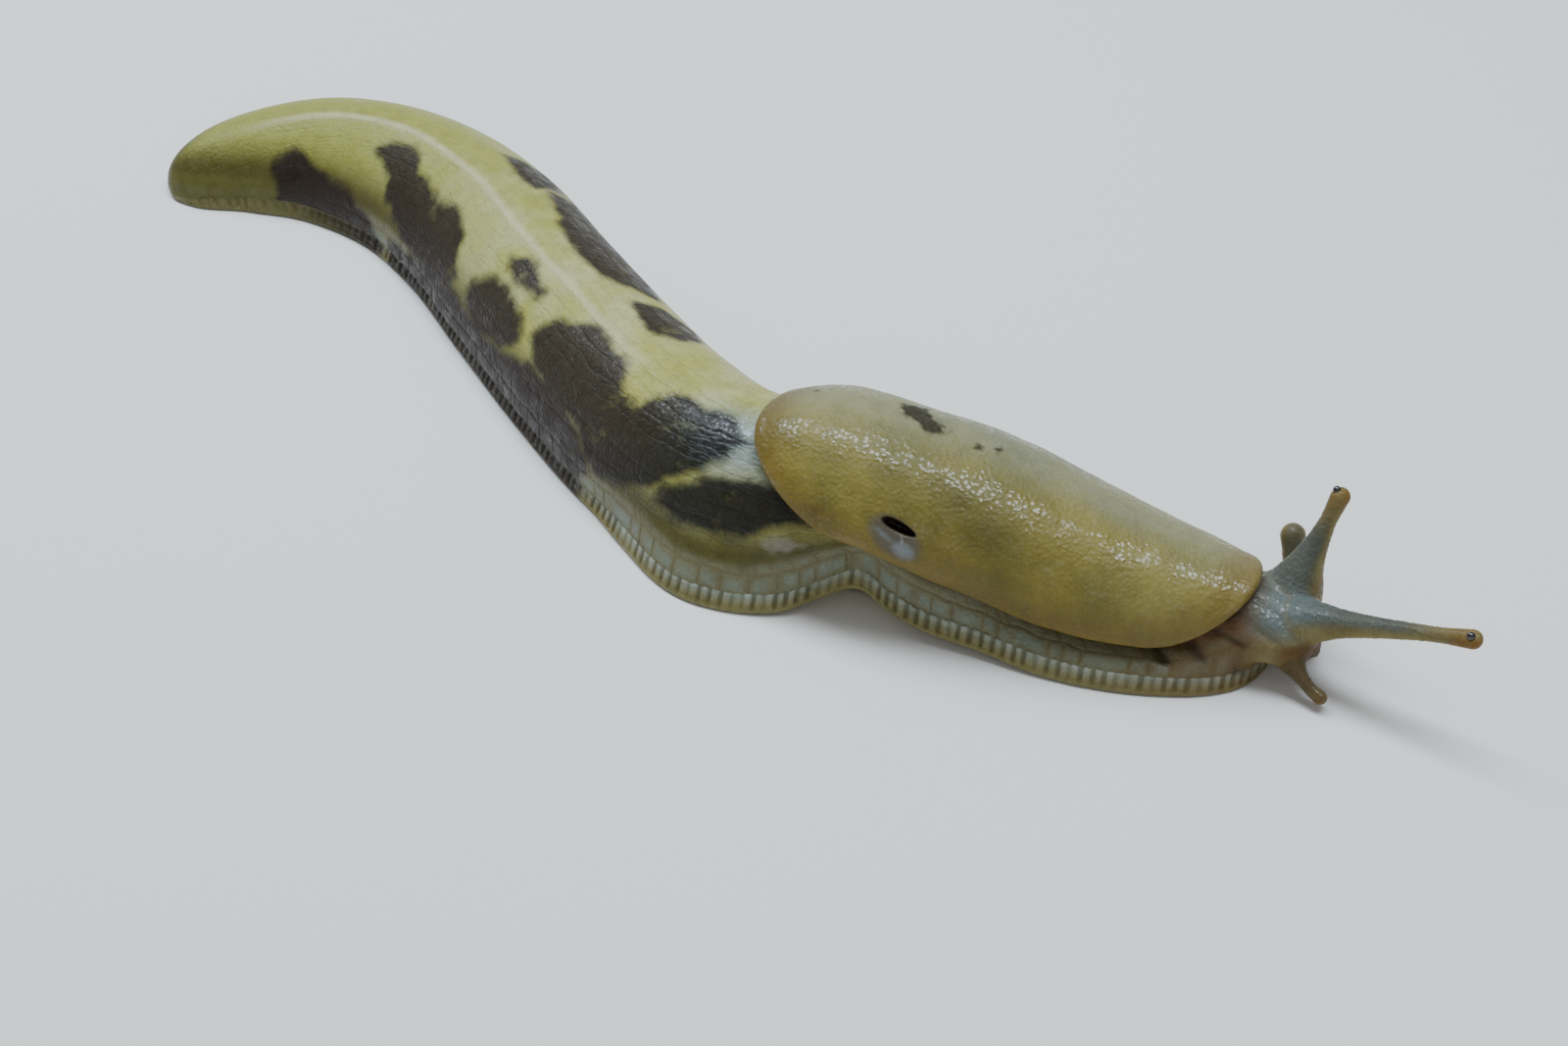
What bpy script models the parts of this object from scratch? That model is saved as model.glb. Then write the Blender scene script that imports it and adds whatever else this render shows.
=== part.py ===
"""A banana slug at life size, crawling, as a still museum model.

The animal lies on the floor with its tail towards -X and its head towards +X. The origin is on the
floor, under the middle of its box. Sizes are in millimetres until a mesh is made.

Every part grows from one centre line on the floor. A distance along that line, from the tail tip
forward, is called a station. The body above the foot is a row of cross sections set square to the
line, the foot is a flat sole with a ridged fringe, and the mantle is a thick saddle over the back.
"""

import math

import bmesh
import bpy
import numpy as np
from mathutils import Matrix, Vector

MM = 0.001
GAP = 0.3
HALF_GAP = GAP / 2

# Centre line of the body on the floor, from the tail tip to the snout, and how it is set on the origin.
CENTRE_LINE = [
    (-86.1, -1.5), (-79.2, 7.6), (-69.0, 13.6), (-56.0, 14.6), (-42.5, 10.7), (-28.5, 3.7), (-13.5, -3.7),
    (0.5, -9.7), (14.0, -13.0), (28.2, -10.7), (42.3, -6.6), (56.3, -3.0), (68.2, 0.3), (77.0, 3.0),
]
TO_ORIGIN = (-2.9, 0.5)

# Sizes along the body, as (station, size).
BODY_HALF_WIDTH = [
    (0.0, 0.7), (0.8, 2.3), (3.0, 4.3), (8.0, 6.7), (15.0, 8.5), (28.0, 10.2), (55.0, 11.3), (85.0, 11.4),
    (108.0, 11.4), (125.0, 10.9), (140.0, 9.9), (155.0, 8.2), (165.0, 6.4), (170.0, 5.7), (173.5, 5.6),
    (176.0, 4.0), (177.3, 1.6),
]
BACK_HEIGHT = [
    (0.0, 2.4), (0.8, 4.0), (3.0, 5.9), (8.0, 8.1), (15.0, 10.1), (28.0, 12.4), (55.0, 14.6), (75.0, 15.1),
    (90.0, 15.7), (104.0, 16.5), (114.0, 17.4), (125.0, 18.3), (138.0, 16.8), (150.0, 13.6), (160.0, 11.3),
    (168.0, 10.2), (173.5, 9.4), (176.0, 7.6), (177.3, 5.6),
]
FOOT_TOP = [
    (0.0, 1.2), (6.0, 1.8), (20.0, 2.5), (150.0, 2.6), (165.0, 2.4), (172.5, 2.0),
]
WAIST_HEIGHT = [
    (0.0, 1.35), (6.0, 1.95), (20.0, 2.65), (150.0, 2.75), (162.0, 2.75), (168.0, 3.6), (173.0, 4.9),
    (177.3, 4.6),
]
BELLY_HEIGHT = [
    (0.0, 1.35), (6.0, 1.95), (20.0, 2.65), (150.0, 2.75), (172.0, 2.7), (174.5, 2.1), (176.4, 2.6),
    (177.3, 3.6),
]
# How sharp the back is: 2 is round, and less draws it up to a keel.
BACK_ROUNDNESS = [(0.0, 1.75), (20.0, 1.7), (55.0, 1.82), (90.0, 2.0), (125.0, 2.1), (177.3, 2.0)]
FOOT_HALF_WIDTH = [
    (0.0, 1.2), (0.8, 2.8), (3.0, 4.9), (8.0, 7.2), (15.0, 8.9), (28.0, 10.4), (55.0, 11.2), (85.0, 11.4),
    (99.0, 11.5), (106.0, 12.0), (113.0, 13.3), (118.0, 12.5), (124.0, 11.2), (136.0, 11.9), (148.0, 11.7),
    (157.0, 11.0), (164.0, 9.4), (169.0, 6.9), (171.5, 3.9), (172.4, 1.6),
]
# How far the foot's middle lies to the left of the centre line: the outer side of the bend bulges.
FOOT_ASIDE = [(0.0, 0.0), (98.0, 0.0), (113.0, -0.8), (119.0, -0.5), (128.0, 0.0), (172.4, 0.0)]

# Lengths that the body and the foot are divided into, at these stations.
BODY_CUTS = [
    ("tail_end", 0.15, 26.0), ("tail", 26.0, 54.0), ("trunk_rear", 54.0, 82.0), ("trunk_middle", 82.0, 112.0),
    ("trunk_front", 112.0, 142.0), ("neck", 142.0, 171.0),
]
HEAD_START = 171.0
HEAD_END = 177.3
FOOT_CUTS = [
    ("foot_tail", 0.15, 36.0), ("foot_rear", 36.0, 74.0), ("foot_middle", 74.0, 112.0),
    ("foot_front", 112.0, 142.0), ("foot_toe", 142.0, 172.3),
]
SECTION_STEP = 2.7
ROUND_SIDES = 18
TOP_SHARES = (1.0, 0.8, 0.6, 0.3)

# The fringe round the foot is a row of upright ridges. The right side is pinched in and lifted at one place.
RIDGE_PITCH = 2.4
RIDGE_HEIGHT = 0.24
FRINGE_THICKNESS = 1.75
LIFTED = [
    (117.0, 0.0), (121.0, 0.12), (125.0, 0.6), (128.5, 1.0), (132.0, 0.7), (137.0, 0.42), (143.0, 0.28),
    (149.0, 0.08), (154.0, 0.0),
]
LIFT = 3.2
LIFT_INWARD = 3.6
LIFT_REACH = (4.0, 10.0)
LIFT_FADE = (3.2, 14.0)

# The mantle lies over the back from its rear edge to its front edge.
MANTLE_REAR = 114.6
MANTLE_FRONT = 170.2
MANTLE_REAR_ROUND = 19.0
MANTLE_FRONT_ROUND = 11.0
MANTLE_REACH_DEG = [(114.6, 63.0), (124.0, 65.0), (130.0, 67.0), (138.0, 73.0), (148.0, 78.0), (170.2, 79.0)]
MANTLE_THICKNESS = [(114.6, 1.9), (124.0, 2.7), (140.0, 2.7), (160.0, 2.0), (170.2, 1.4)]
MANTLE_EDGE_THICKNESS = 0.8
MANTLE_EDGE_RISE = 3.2
MANTLE_ROWS = 30
MANTLE_COLUMNS = 16

# The breathing hole in the mantle's right side.
HOLE_STATION = 133.0
HOLE_DEG = 43.0
HOLE_HALF_SIZE = (2.4, 0.75, 1.5)
HOLE_SLANT_DEG = -21.0
HOLLOW_HALF_SIZE = (3.4, 2.3, 0.9)
HOLLOW_DROP = 2.0

# Feelers: (distance along, radius) from root to tip. The upper pair carry the eyes.
UPPER_RIGHT_PATH = [(73.0, 0.8, 6.2), (77.6, 0.9, 8.3), (83.0, 0.9, 10.4), (88.5, 1.2, 12.2), (93.4, 1.6, 13.6)]
UPPER_LEFT_PATH = [(72.2, 3.4, 5.6), (72.8, 5.1, 10.0), (73.4, 6.9, 13.6), (74.2, 8.9, 18.2)]
LOWER_RIGHT_PATH = [(73.8, -0.6, 4.6), (76.4, -1.9, 3.4), (78.4, -2.5, 2.2), (79.9, -2.7, 1.6)]
LOWER_LEFT_PATH = [(71.9, 6.2, 4.2), (70.6, 8.4, 5.4), (69.5, 9.9, 7.0), (68.7, 11.0, 8.8)]
UPPER_RIGHT_RADII = [(0.0, 2.9), (0.2, 2.3), (0.38, 1.45), (0.6, 1.05), (0.85, 0.85), (0.93, 0.95), (1.0, 1.05)]
UPPER_LEFT_RADII = [(0.0, 3.6), (0.25, 3.0), (0.42, 2.0), (0.62, 1.25), (0.82, 0.95), (0.92, 1.0), (1.0, 1.08)]
LOWER_RIGHT_RADII = [(0.0, 2.2), (0.3, 1.7), (0.6, 0.95), (0.85, 0.75), (1.0, 0.8)]
LOWER_LEFT_RADII = [(0.0, 2.3), (0.3, 1.8), (0.6, 1.15), (0.85, 1.25), (1.0, 1.4)]
FEELER_SIDES = 14
FEELER_RINGS = 14
EYE_RADIUS = 0.45
EYE_RIGHT_SEAT = (1.0, 0.86)
EYE_LEFT_SEAT = (0.5, 0.65)

# The mouth: a pair of lobes under the snout with a slit between them.
MOUTH_STATION = 176.3
MOUTH_HEIGHT = 3.2
LOBE_HALF_SIZE = (1.2, 1.0, 0.95)
LOBE_SPREAD = 1.25
SLIT_HALF_SIZE = (1.6, 0.22, 0.85)

SKIN_COLOUR = (0.42, 0.36, 0.17)
MANTLE_COLOUR = (0.50, 0.38, 0.11)
FRINGE_COLOUR = (0.46, 0.42, 0.26)
FEELER_COLOUR = (0.36, 0.33, 0.22)
EYE_COLOUR = (0.03, 0.025, 0.03)


def smooth_line(points, steps=24):
    """Points along a smooth curve through these ones."""
    p = np.array(points, float)
    p = np.vstack([2 * p[0] - p[1], p, 2 * p[-1] - p[-2]])
    made = []
    for a, b, c, d in zip(p, p[1:], p[2:], p[3:]):
        for k in range(steps):
            t = k / steps
            made.append(0.5 * (2 * b + (c - a) * t + (2 * a - 5 * b + 4 * c - d) * t**2
                               + (3 * b - a - 3 * c + d) * t**3))
    made.append(p[-2])
    return np.array(made)


LINE = smooth_line(CENTRE_LINE)
RUN = np.concatenate([[0.0], np.cumsum(np.linalg.norm(np.diff(LINE, axis=0), axis=1))])


def size_at(table, station):
    """The size at a station, eased between the table's entries without overshoot."""
    x = np.array([row[0] for row in table], float)
    y = np.array([row[1] for row in table], float)
    step = np.diff(x)
    slope = np.diff(y) / step
    lean = np.zeros(len(x))
    lean[0], lean[-1] = slope[0], slope[-1]
    for i in range(1, len(x) - 1):
        if slope[i - 1] * slope[i] > 0:
            w1, w2 = 2 * step[i] + step[i - 1], step[i] + 2 * step[i - 1]
            lean[i] = (w1 + w2) / (w1 / slope[i - 1] + w2 / slope[i])
    s = min(max(station, x[0]), x[-1])
    i = min(int(np.searchsorted(x, s, side="right")) - 1, len(x) - 2)
    t = (s - x[i]) / step[i]
    return ((2 * t**3 - 3 * t**2 + 1) * y[i] + (t**3 - 2 * t**2 + t) * step[i] * lean[i]
            + (3 * t**2 - 2 * t**3) * y[i + 1] + (t**3 - t**2) * step[i] * lean[i + 1])


def line_point(station):
    """The centre line's point at a station, as x and y."""
    return np.array([np.interp(station, RUN, LINE[:, k]) for k in range(2)])


def eased(value, low, high):
    """0 below one value and 1 above another, with an even turn between them."""
    t = min(max((value - low) / (high - low), 0.0), 1.0)
    return t * t * (3 - 2 * t)


def place(station, aside, height):
    """A point given by its station, how far it is to the animal's left, and its height."""
    lifted = size_at(LIFTED, station) * eased(-aside, *LIFT_REACH) * (1 - eased(height, *LIFT_FADE))
    aside += LIFT_INWARD * lifted
    height += LIFT * lifted
    reach = 1.5
    ahead = line_point(station + reach) - line_point(station - reach)
    ahead /= np.linalg.norm(ahead)
    x, y = line_point(station) + aside * np.array([-ahead[1], ahead[0]])
    return Vector((x + TO_ORIGIN[0], y + TO_ORIGIN[1], height))


def bowed(value, roundness):
    """A sine or cosine, drawn towards a sharper or squarer curve."""
    return math.copysign(abs(value) ** (2 / roundness), value)


def back_point(station, angle, grow=0.0):
    """A point on the back, at an angle from the right side (0) over the top to the left side (pi)."""
    width = size_at(BODY_HALF_WIDTH, station) + grow
    waist = size_at(WAIST_HEIGHT, station)
    rise = size_at(BACK_HEIGHT, station) + grow - waist
    roundness = size_at(BACK_ROUNDNESS, station)
    return place(station, -width * bowed(math.cos(angle), roundness), waist + rise * bowed(math.sin(angle), roundness))


def body_ring(station, grow=0.0):
    """One cross section of the body above the foot, from the right side over the back and under the belly."""
    ring = [back_point(station, math.pi * k / ROUND_SIDES, grow) for k in range(ROUND_SIDES + 1)]
    belly = size_at(BELLY_HEIGHT, station) - grow
    belly_half = max(foot_top_half(station), 0.55 * size_at(BODY_HALF_WIDTH, station))
    for share in [*TOP_SHARES, *(-s for s in TOP_SHARES[::-1])]:
        ring.append(place(station, share * belly_half, belly))
    return ring


def foot_top_half(station):
    """Half the width of the flat where the body stands on the foot."""
    width = min(size_at(FOOT_HALF_WIDTH, station), size_at(BODY_HALF_WIDTH, station) + 1.0)
    return width - 0.3 * width ** 0.8


def foot_ring(station, swell):
    """One cross section of the foot: a flat sole, a fringe with a round edge, and a flat top under the body."""
    width = size_at(FOOT_HALF_WIDTH, station)
    middle = size_at(FOOT_ASIDE, station)
    top = size_at(FOOT_TOP, station) - HALF_GAP
    fringe = min(FRINGE_THICKNESS, top - 0.25)
    swelled = width + swell * min(1.0, width / 6)
    half = [
        (0.45 * width, 0.0),
        (0.75 * width, 0.0),
        (swelled - 0.45, 0.0),
        (swelled, 0.5 * fringe),
        (swelled - 0.3, fringe),
    ]
    edge = [(middle - aside, height) for aside, height in half]
    edge += [(-share * foot_top_half(station), top) for share in TOP_SHARES]
    edge += [(share * foot_top_half(station), top) for share in TOP_SHARES[::-1]]
    edge += [(middle + aside, height) for aside, height in half[::-1]]
    return [place(station, aside, height) for aside, height in edge]


def loft(name, rings):
    """A closed mesh object through rings of points, capped flat at both ends."""
    shape = bmesh.new()
    made = [[shape.verts.new(point * MM) for point in ring] for ring in rings]
    for low, high in zip(made, made[1:]):
        for a, b, c, d in zip(low, low[1:] + low[:1], high[1:] + high[:1], high):
            shape.faces.new((a, b, c, d))
    shape.faces.new(made[0][::-1])
    shape.faces.new(made[-1])
    bmesh.ops.recalc_face_normals(shape, faces=shape.faces)
    return finished(name, shape)


def finished(name, shape):
    """An object in the scene from a bmesh, shaded smooth."""
    mesh = bpy.data.meshes.new(name)
    shape.to_mesh(mesh)
    shape.free()
    mesh.shade_smooth()
    made = bpy.data.objects.new(name, mesh)
    bpy.context.scene.collection.objects.link(made)
    return made


def material(name, colour, roughness):
    """A plain finish for the solids."""
    made = bpy.data.materials.new(name)
    made.use_nodes = True
    shader = made.node_tree.nodes["Principled BSDF"]
    shader.inputs["Base Color"].default_value = (*colour, 1.0)
    shader.inputs["Roughness"].default_value = roughness
    shader.inputs["Metallic"].default_value = 0.0
    return made


def combine(base, tool, operation, solver="EXACT"):
    """Cuts the tool from the base or joins it on, and removes the tool."""
    change = base.modifiers.new(operation.lower(), "BOOLEAN")
    change.operation = operation
    change.solver = solver
    change.object = tool
    graph = bpy.context.evaluated_depsgraph_get()
    shape = bmesh.new()
    shape.from_object(base, graph)
    base.modifiers.clear()
    keep_largest(shape)
    shape.to_mesh(base.data)
    shape.free()
    base.data.shade_smooth()
    bpy.data.objects.remove(tool)
    return base


def keep_largest(shape):
    """Drops every loose shell but the one with the largest volume."""
    left = set(shape.faces)
    shells = []
    while left:
        shell, edge = set(), [left.pop()]
        while edge:
            face = edge.pop()
            shell.add(face)
            for near in (f for e in face.edges for f in e.link_faces if f in left):
                left.discard(near)
                edge.append(near)
        shells.append(shell)
    shells.sort(key=lambda shell: abs(sum(f.calc_area() * f.normal.dot(f.calc_center_median()) for f in shell)))
    for shell in shells[:-1]:
        bmesh.ops.delete(shape, geom=list(shell), context="FACES")
    bmesh.ops.recalc_face_normals(shape, faces=shape.faces)


def ellipsoid(name, centre, half_size, turn, sides=16):
    """A ball stretched to three half sizes, turned, and set at a place."""
    shape = bmesh.new()
    bmesh.ops.create_uvsphere(shape, u_segments=sides, v_segments=sides // 2 + 2, radius=1.0)
    stretch = Matrix.Diagonal((*half_size, 1.0))
    shape.transform(Matrix.Scale(MM, 4) @ Matrix.Translation(centre) @ turn.to_4x4() @ stretch)
    return finished(name, shape)


def stations(start, end, step):
    """Stations from start to end, closer together at the tail tip."""
    count = max(2, math.ceil((end - start) / step))
    row = [start + (end - start) * k / count for k in range(count + 1)]
    if start < 1.0:
        row = [start, 0.6, 1.4] + [s for s in row[1:]]
    return row


def make_body():
    """The lengths of the body, from the tail tip to the neck."""
    made = []
    for name, start, end in BODY_CUTS:
        first = start if start < 1.0 else start + HALF_GAP
        step = RIDGE_PITCH / 2 if name == "trunk_front" else SECTION_STEP
        rings = [body_ring(s) for s in stations(first, end - HALF_GAP, step)]
        made.append(loft(name, rings))
    return made


def make_foot():
    """The lengths of the foot, with the fringe's ridges along both edges."""
    made = []
    for name, start, end in FOOT_CUTS:
        first = start if start < 1.0 else start + HALF_GAP
        row = stations(first, end - HALF_GAP, RIDGE_PITCH / 2)
        rings = [foot_ring(s, RIDGE_HEIGHT * (1 if k % 2 else -1)) for k, s in enumerate(row)]
        made.append(loft(name, rings))
    return made


def mantle_spread(station):
    """The mantle's half angle at a station, and how far inside its rounded ends the station is (1 to 0)."""
    inward = 0.0
    if station < MANTLE_REAR + MANTLE_REAR_ROUND:
        inward = (MANTLE_REAR + MANTLE_REAR_ROUND - station) / MANTLE_REAR_ROUND
    if station > MANTLE_FRONT - MANTLE_FRONT_ROUND:
        inward = (station - MANTLE_FRONT + MANTLE_FRONT_ROUND) / MANTLE_FRONT_ROUND
    spread = math.radians(size_at(MANTLE_REACH_DEG, station)) * math.sqrt(max(1 - inward**2, 0.0))
    return spread, inward


def mantle_depth(station, across, inward):
    """The mantle's thickness, from its thin edge up to its full thickness."""
    to_edge = 1 - math.hypot(across * math.sqrt(max(1 - inward**2, 0.0)), inward)
    share = min(1.0, to_edge * size_at(BODY_HALF_WIDTH, station) / MANTLE_EDGE_RISE)
    eased = math.sqrt(max(1 - (1 - share) ** 2, 0.0))
    full = size_at(MANTLE_THICKNESS, station)
    return MANTLE_EDGE_THICKNESS + (full - MANTLE_EDGE_THICKNESS) * eased


def mantle_stations():
    """Stations of the mantle's cross sections, crowded towards its two rounded ends."""
    middle, reach = (MANTLE_REAR + MANTLE_FRONT) / 2, (MANTLE_FRONT - MANTLE_REAR) / 2 - 0.12
    return [middle - reach * math.cos(math.pi * k / MANTLE_ROWS) for k in range(MANTLE_ROWS + 1)]


def make_mantle():
    """The mantle: a saddle over the back, thick in the middle and thin at its edge, with the breathing hole."""
    rings = []
    for station in mantle_stations():
        spread, inward = mantle_spread(station)
        outer, inner = [], []
        for k in range(MANTLE_COLUMNS + 1):
            across = 2 * k / MANTLE_COLUMNS - 1
            angle = math.pi / 2 + spread * across
            outer.append(back_point(station, angle, GAP + mantle_depth(station, across, inward)))
            inner.append(back_point(station, angle, GAP))
        rings.append(outer + inner[::-1])
    mantle = loft("mantle", rings)
    return cut_breathing_hole(mantle)


def surface_frame(station, angle, grow):
    """A point on the mantle's outside, and the turn that sets X along it, Y up over it and Z out of it."""
    point = back_point(station, angle, grow)
    forward = (back_point(station + 1, angle, grow) - back_point(station - 1, angle, grow)).normalized()
    over = (back_point(station, angle + 0.05, grow) - back_point(station, angle - 0.05, grow)).normalized()
    out = forward.cross(over).normalized()
    if out.z < 0:
        out.negate()
    return point, Matrix((forward, out.cross(forward), out)).transposed()


def cut_breathing_hole(mantle):
    """A slanting slit through the mantle's right side, with a shallow hollow below it."""
    grow = GAP + size_at(MANTLE_THICKNESS, HOLE_STATION)
    point, turn = surface_frame(HOLE_STATION, math.radians(HOLE_DEG), grow)
    slant = turn @ Matrix.Rotation(math.radians(HOLE_SLANT_DEG), 3, "Z")
    hollow = ellipsoid("hollow", point - turn.col[1] * HOLLOW_DROP, HOLLOW_HALF_SIZE, slant)
    combine(mantle, hollow, "DIFFERENCE")
    slit = ellipsoid("slit", point, HOLE_HALF_SIZE, slant)
    return combine(mantle, slit, "DIFFERENCE")


def head_solid(name, grow=0.0):
    """The head's own solid, from the neck to the snout, or one a little larger all round."""
    count = 7
    first = HEAD_START + HALF_GAP - 2 * grow
    last = HEAD_END + 0.5 * grow
    rings = [body_ring(first + (last - first) * k / count, grow) for k in range(count + 1)]
    return loft(name, rings)


def mouth_piece(name, side):
    """One of the two lobes beside the mouth."""
    centre = place(MOUTH_STATION, side * LOBE_SPREAD, MOUTH_HEIGHT)
    ahead = place(MOUTH_STATION + 1, 0, 0) - place(MOUTH_STATION, 0, 0)
    turn = Matrix.Rotation(math.atan2(ahead.y, ahead.x), 3, "Z")
    return ellipsoid(name, centre, LOBE_HALF_SIZE, turn, 12)


def make_head():
    """The head, with the two lobes of the mouth joined on and the slit of the mouth cut between them."""
    head = head_solid("head")
    for side in (-1, 1):
        combine(head, mouth_piece("lobe", side), "UNION")
    ahead = place(MOUTH_STATION + 1, 0, 0) - place(MOUTH_STATION, 0, 0)
    turn = Matrix.Rotation(math.atan2(ahead.y, ahead.x), 3, "Z")
    tip = place(MOUTH_STATION + 1.4, 0, MOUTH_HEIGHT)
    return combine(head, ellipsoid("mouth", tip, SLIT_HALF_SIZE, turn, 12), "DIFFERENCE")


def tube_rings(path, radii, grow=0.0):
    """Rings of points round a smooth path, closed by a round end."""
    line = smooth_line([Vector(p) + Vector((*TO_ORIGIN, 0.0)) for p in path], 8)
    run = np.concatenate([[0.0], np.cumsum(np.linalg.norm(np.diff(line, axis=0), axis=1))])
    length = run[-1]

    def point_at(distance):
        return Vector([np.interp(distance, run, line[:, k]) for k in range(3)])

    rows = [(k / FEELER_RINGS * length, size_at(radii, k / FEELER_RINGS)) for k in range(FEELER_RINGS + 1)]
    end = size_at(radii, 1.0)
    end_way = (point_at(length) - point_at(length - 0.6)).normalized()
    rings = []
    for distance, radius in rows:
        way = (point_at(min(distance + 0.5, length)) - point_at(max(distance - 0.5, 0.0))).normalized()
        rings.append(circle(point_at(distance), way, radius + grow))
    for degrees in (25, 48, 68, 82):
        turn = math.radians(degrees)
        centre = point_at(length) + end_way * (end + grow) * math.sin(turn)
        rings.append(circle(centre, end_way, (end + grow) * math.cos(turn)))
    return rings, point_at(length) + end_way * end, end_way


def circle(centre, way, radius):
    """A ring of points round a centre, square to a direction."""
    aside = way.cross(Vector((0, 0, 1))).normalized()
    over = aside.cross(way)
    angles = [2 * math.pi * k / FEELER_SIDES for k in range(FEELER_SIDES)]
    return [centre + aside * radius * math.cos(a) + over * radius * math.sin(a) for a in angles]


def make_feeler(name, path, radii, neighbours=()):
    """A feeler, whose root is cut to the head and to neighbouring feelers with the usual gap."""
    rings, tip, way = tube_rings(path, radii)
    feeler = loft(name, rings)
    combine(feeler, head_solid("root_cutter", GAP), "DIFFERENCE", "MANIFOLD")
    for near_path, near_radii in neighbours:
        near_rings, _, _ = tube_rings(near_path, near_radii, GAP)
        combine(feeler, loft("neighbour", near_rings), "DIFFERENCE", "MANIFOLD")
    return feeler, tip, way


def make_eye(name, feeler, tip, way, up, seat):
    """An eye set near a feeler's tip, behind it and off its axis, in a socket that is wider by the gap."""
    behind, aside = seat
    centre = tip - way * behind + (up - way * up.dot(way)).normalized() * aside
    still = Matrix.Identity(3)
    combine(feeler, ellipsoid("socket", centre, (EYE_RADIUS + GAP,) * 3, still, 12), "DIFFERENCE")
    return ellipsoid(name, centre, (EYE_RADIUS,) * 3, still, 12)


def clear_scene():
    """Removes what a new file holds."""
    for old in list(bpy.data.objects):
        bpy.data.objects.remove(old)


def give(objects, finish):
    """Puts one finish on each object."""
    for made in objects:
        made.data.materials.clear()
        made.data.materials.append(finish)


def main():
    clear_scene()
    skin = material("skin", SKIN_COLOUR, 0.35)
    mantle_finish = material("mantle_skin", MANTLE_COLOUR, 0.3)
    fringe_finish = material("fringe", FRINGE_COLOUR, 0.35)
    feeler_finish = material("feeler", FEELER_COLOUR, 0.3)
    eye_finish = material("eye", EYE_COLOUR, 0.1)

    body = make_body()
    foot = make_foot()
    mantle = make_mantle()
    head = make_head()

    upper_right, right_tip, right_way = make_feeler("upper_feeler_right", UPPER_RIGHT_PATH, UPPER_RIGHT_RADII)
    beside_right = [(UPPER_RIGHT_PATH, UPPER_RIGHT_RADII)]
    beside_left = [(UPPER_LEFT_PATH, UPPER_LEFT_RADII)]
    upper_left, left_tip, left_way = make_feeler(
        "upper_feeler_left", UPPER_LEFT_PATH, UPPER_LEFT_RADII, beside_right)
    lower_right, _, _ = make_feeler("lower_feeler_right", LOWER_RIGHT_PATH, LOWER_RIGHT_RADII, beside_right)
    lower_left, _, _ = make_feeler("lower_feeler_left", LOWER_LEFT_PATH, LOWER_LEFT_RADII, beside_left)
    eye_right = make_eye("eye_right", upper_right, right_tip, right_way, Vector((0, -0.6, 1)), EYE_RIGHT_SEAT)
    eye_left = make_eye("eye_left", upper_left, left_tip, left_way, Vector((-0.6, -0.2, 0.5)), EYE_LEFT_SEAT)

    give(body + [head], skin)
    give([mantle], mantle_finish)
    give(foot, fringe_finish)
    give([upper_right, upper_left, lower_right, lower_left], feeler_finish)
    give([eye_right, eye_left], eye_finish)

    slug = bpy.data.collections.new("banana_slug")
    bpy.context.scene.collection.children.link(slug)
    for made in list(bpy.context.scene.collection.objects):
        bpy.context.scene.collection.objects.unlink(made)
        slug.objects.link(made)


main()
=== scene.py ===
"""A crawling banana slug at life size, as a still museum model: its skin, its mantle and its eyes.

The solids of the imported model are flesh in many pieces. Here one skin without seams stands for the body,
the foot, the head and the feelers, a mantle lies over it like a saddle, and each eye is a piece of its own.

Shapes are worked out in millimetres. A station is a distance along the body's centre line from the tail
tip, and across runs from -1 at the right waist over the back (0) to 1 at the left waist.
"""

import math

import bpy
import numpy as np
from mathutils import Matrix, Vector
from mathutils.bvhtree import BVHTree


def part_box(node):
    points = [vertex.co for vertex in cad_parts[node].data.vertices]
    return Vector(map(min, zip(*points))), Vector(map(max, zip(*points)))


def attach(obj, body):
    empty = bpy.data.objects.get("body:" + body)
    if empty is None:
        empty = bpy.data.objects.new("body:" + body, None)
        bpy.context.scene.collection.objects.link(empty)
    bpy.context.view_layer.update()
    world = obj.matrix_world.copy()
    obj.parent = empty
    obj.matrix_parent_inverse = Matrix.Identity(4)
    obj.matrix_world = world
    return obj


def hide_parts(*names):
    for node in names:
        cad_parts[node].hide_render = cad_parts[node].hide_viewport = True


bl_info = {
    "name": "Banana Slug Model",
    "version": (1, 0, 0),
    "blender": (4, 5, 0),
    "location": "View3D > Sidebar > Slug",
    "description": "Builds the skin, mantle and eyes of a life-size crawling banana slug, and its stage",
    "category": "Object",
}

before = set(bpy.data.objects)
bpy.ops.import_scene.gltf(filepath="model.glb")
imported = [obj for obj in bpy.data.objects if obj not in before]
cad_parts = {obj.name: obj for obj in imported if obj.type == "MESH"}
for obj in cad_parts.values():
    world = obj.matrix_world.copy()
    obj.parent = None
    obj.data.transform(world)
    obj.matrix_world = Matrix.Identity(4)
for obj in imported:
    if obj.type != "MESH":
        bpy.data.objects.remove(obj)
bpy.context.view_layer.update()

MM = 0.001
GAP = 0.3
ROW_STEP = 0.5
FOOT_LIP = 0.9
SKIN_GRAIN = 0.5
FLOOR_DROP = 0.00002
CAMERA_PLACE = (0.164256, -0.224270, 0.220)
CAMERA_AIM = (-0.43938, 0.62750, -0.64279)
SKIRT_CLIMB_DEG = 17.0
DAY = (1.0, 0.98, 0.95)
SKY = (0.45, 0.72, 1.0)

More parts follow.
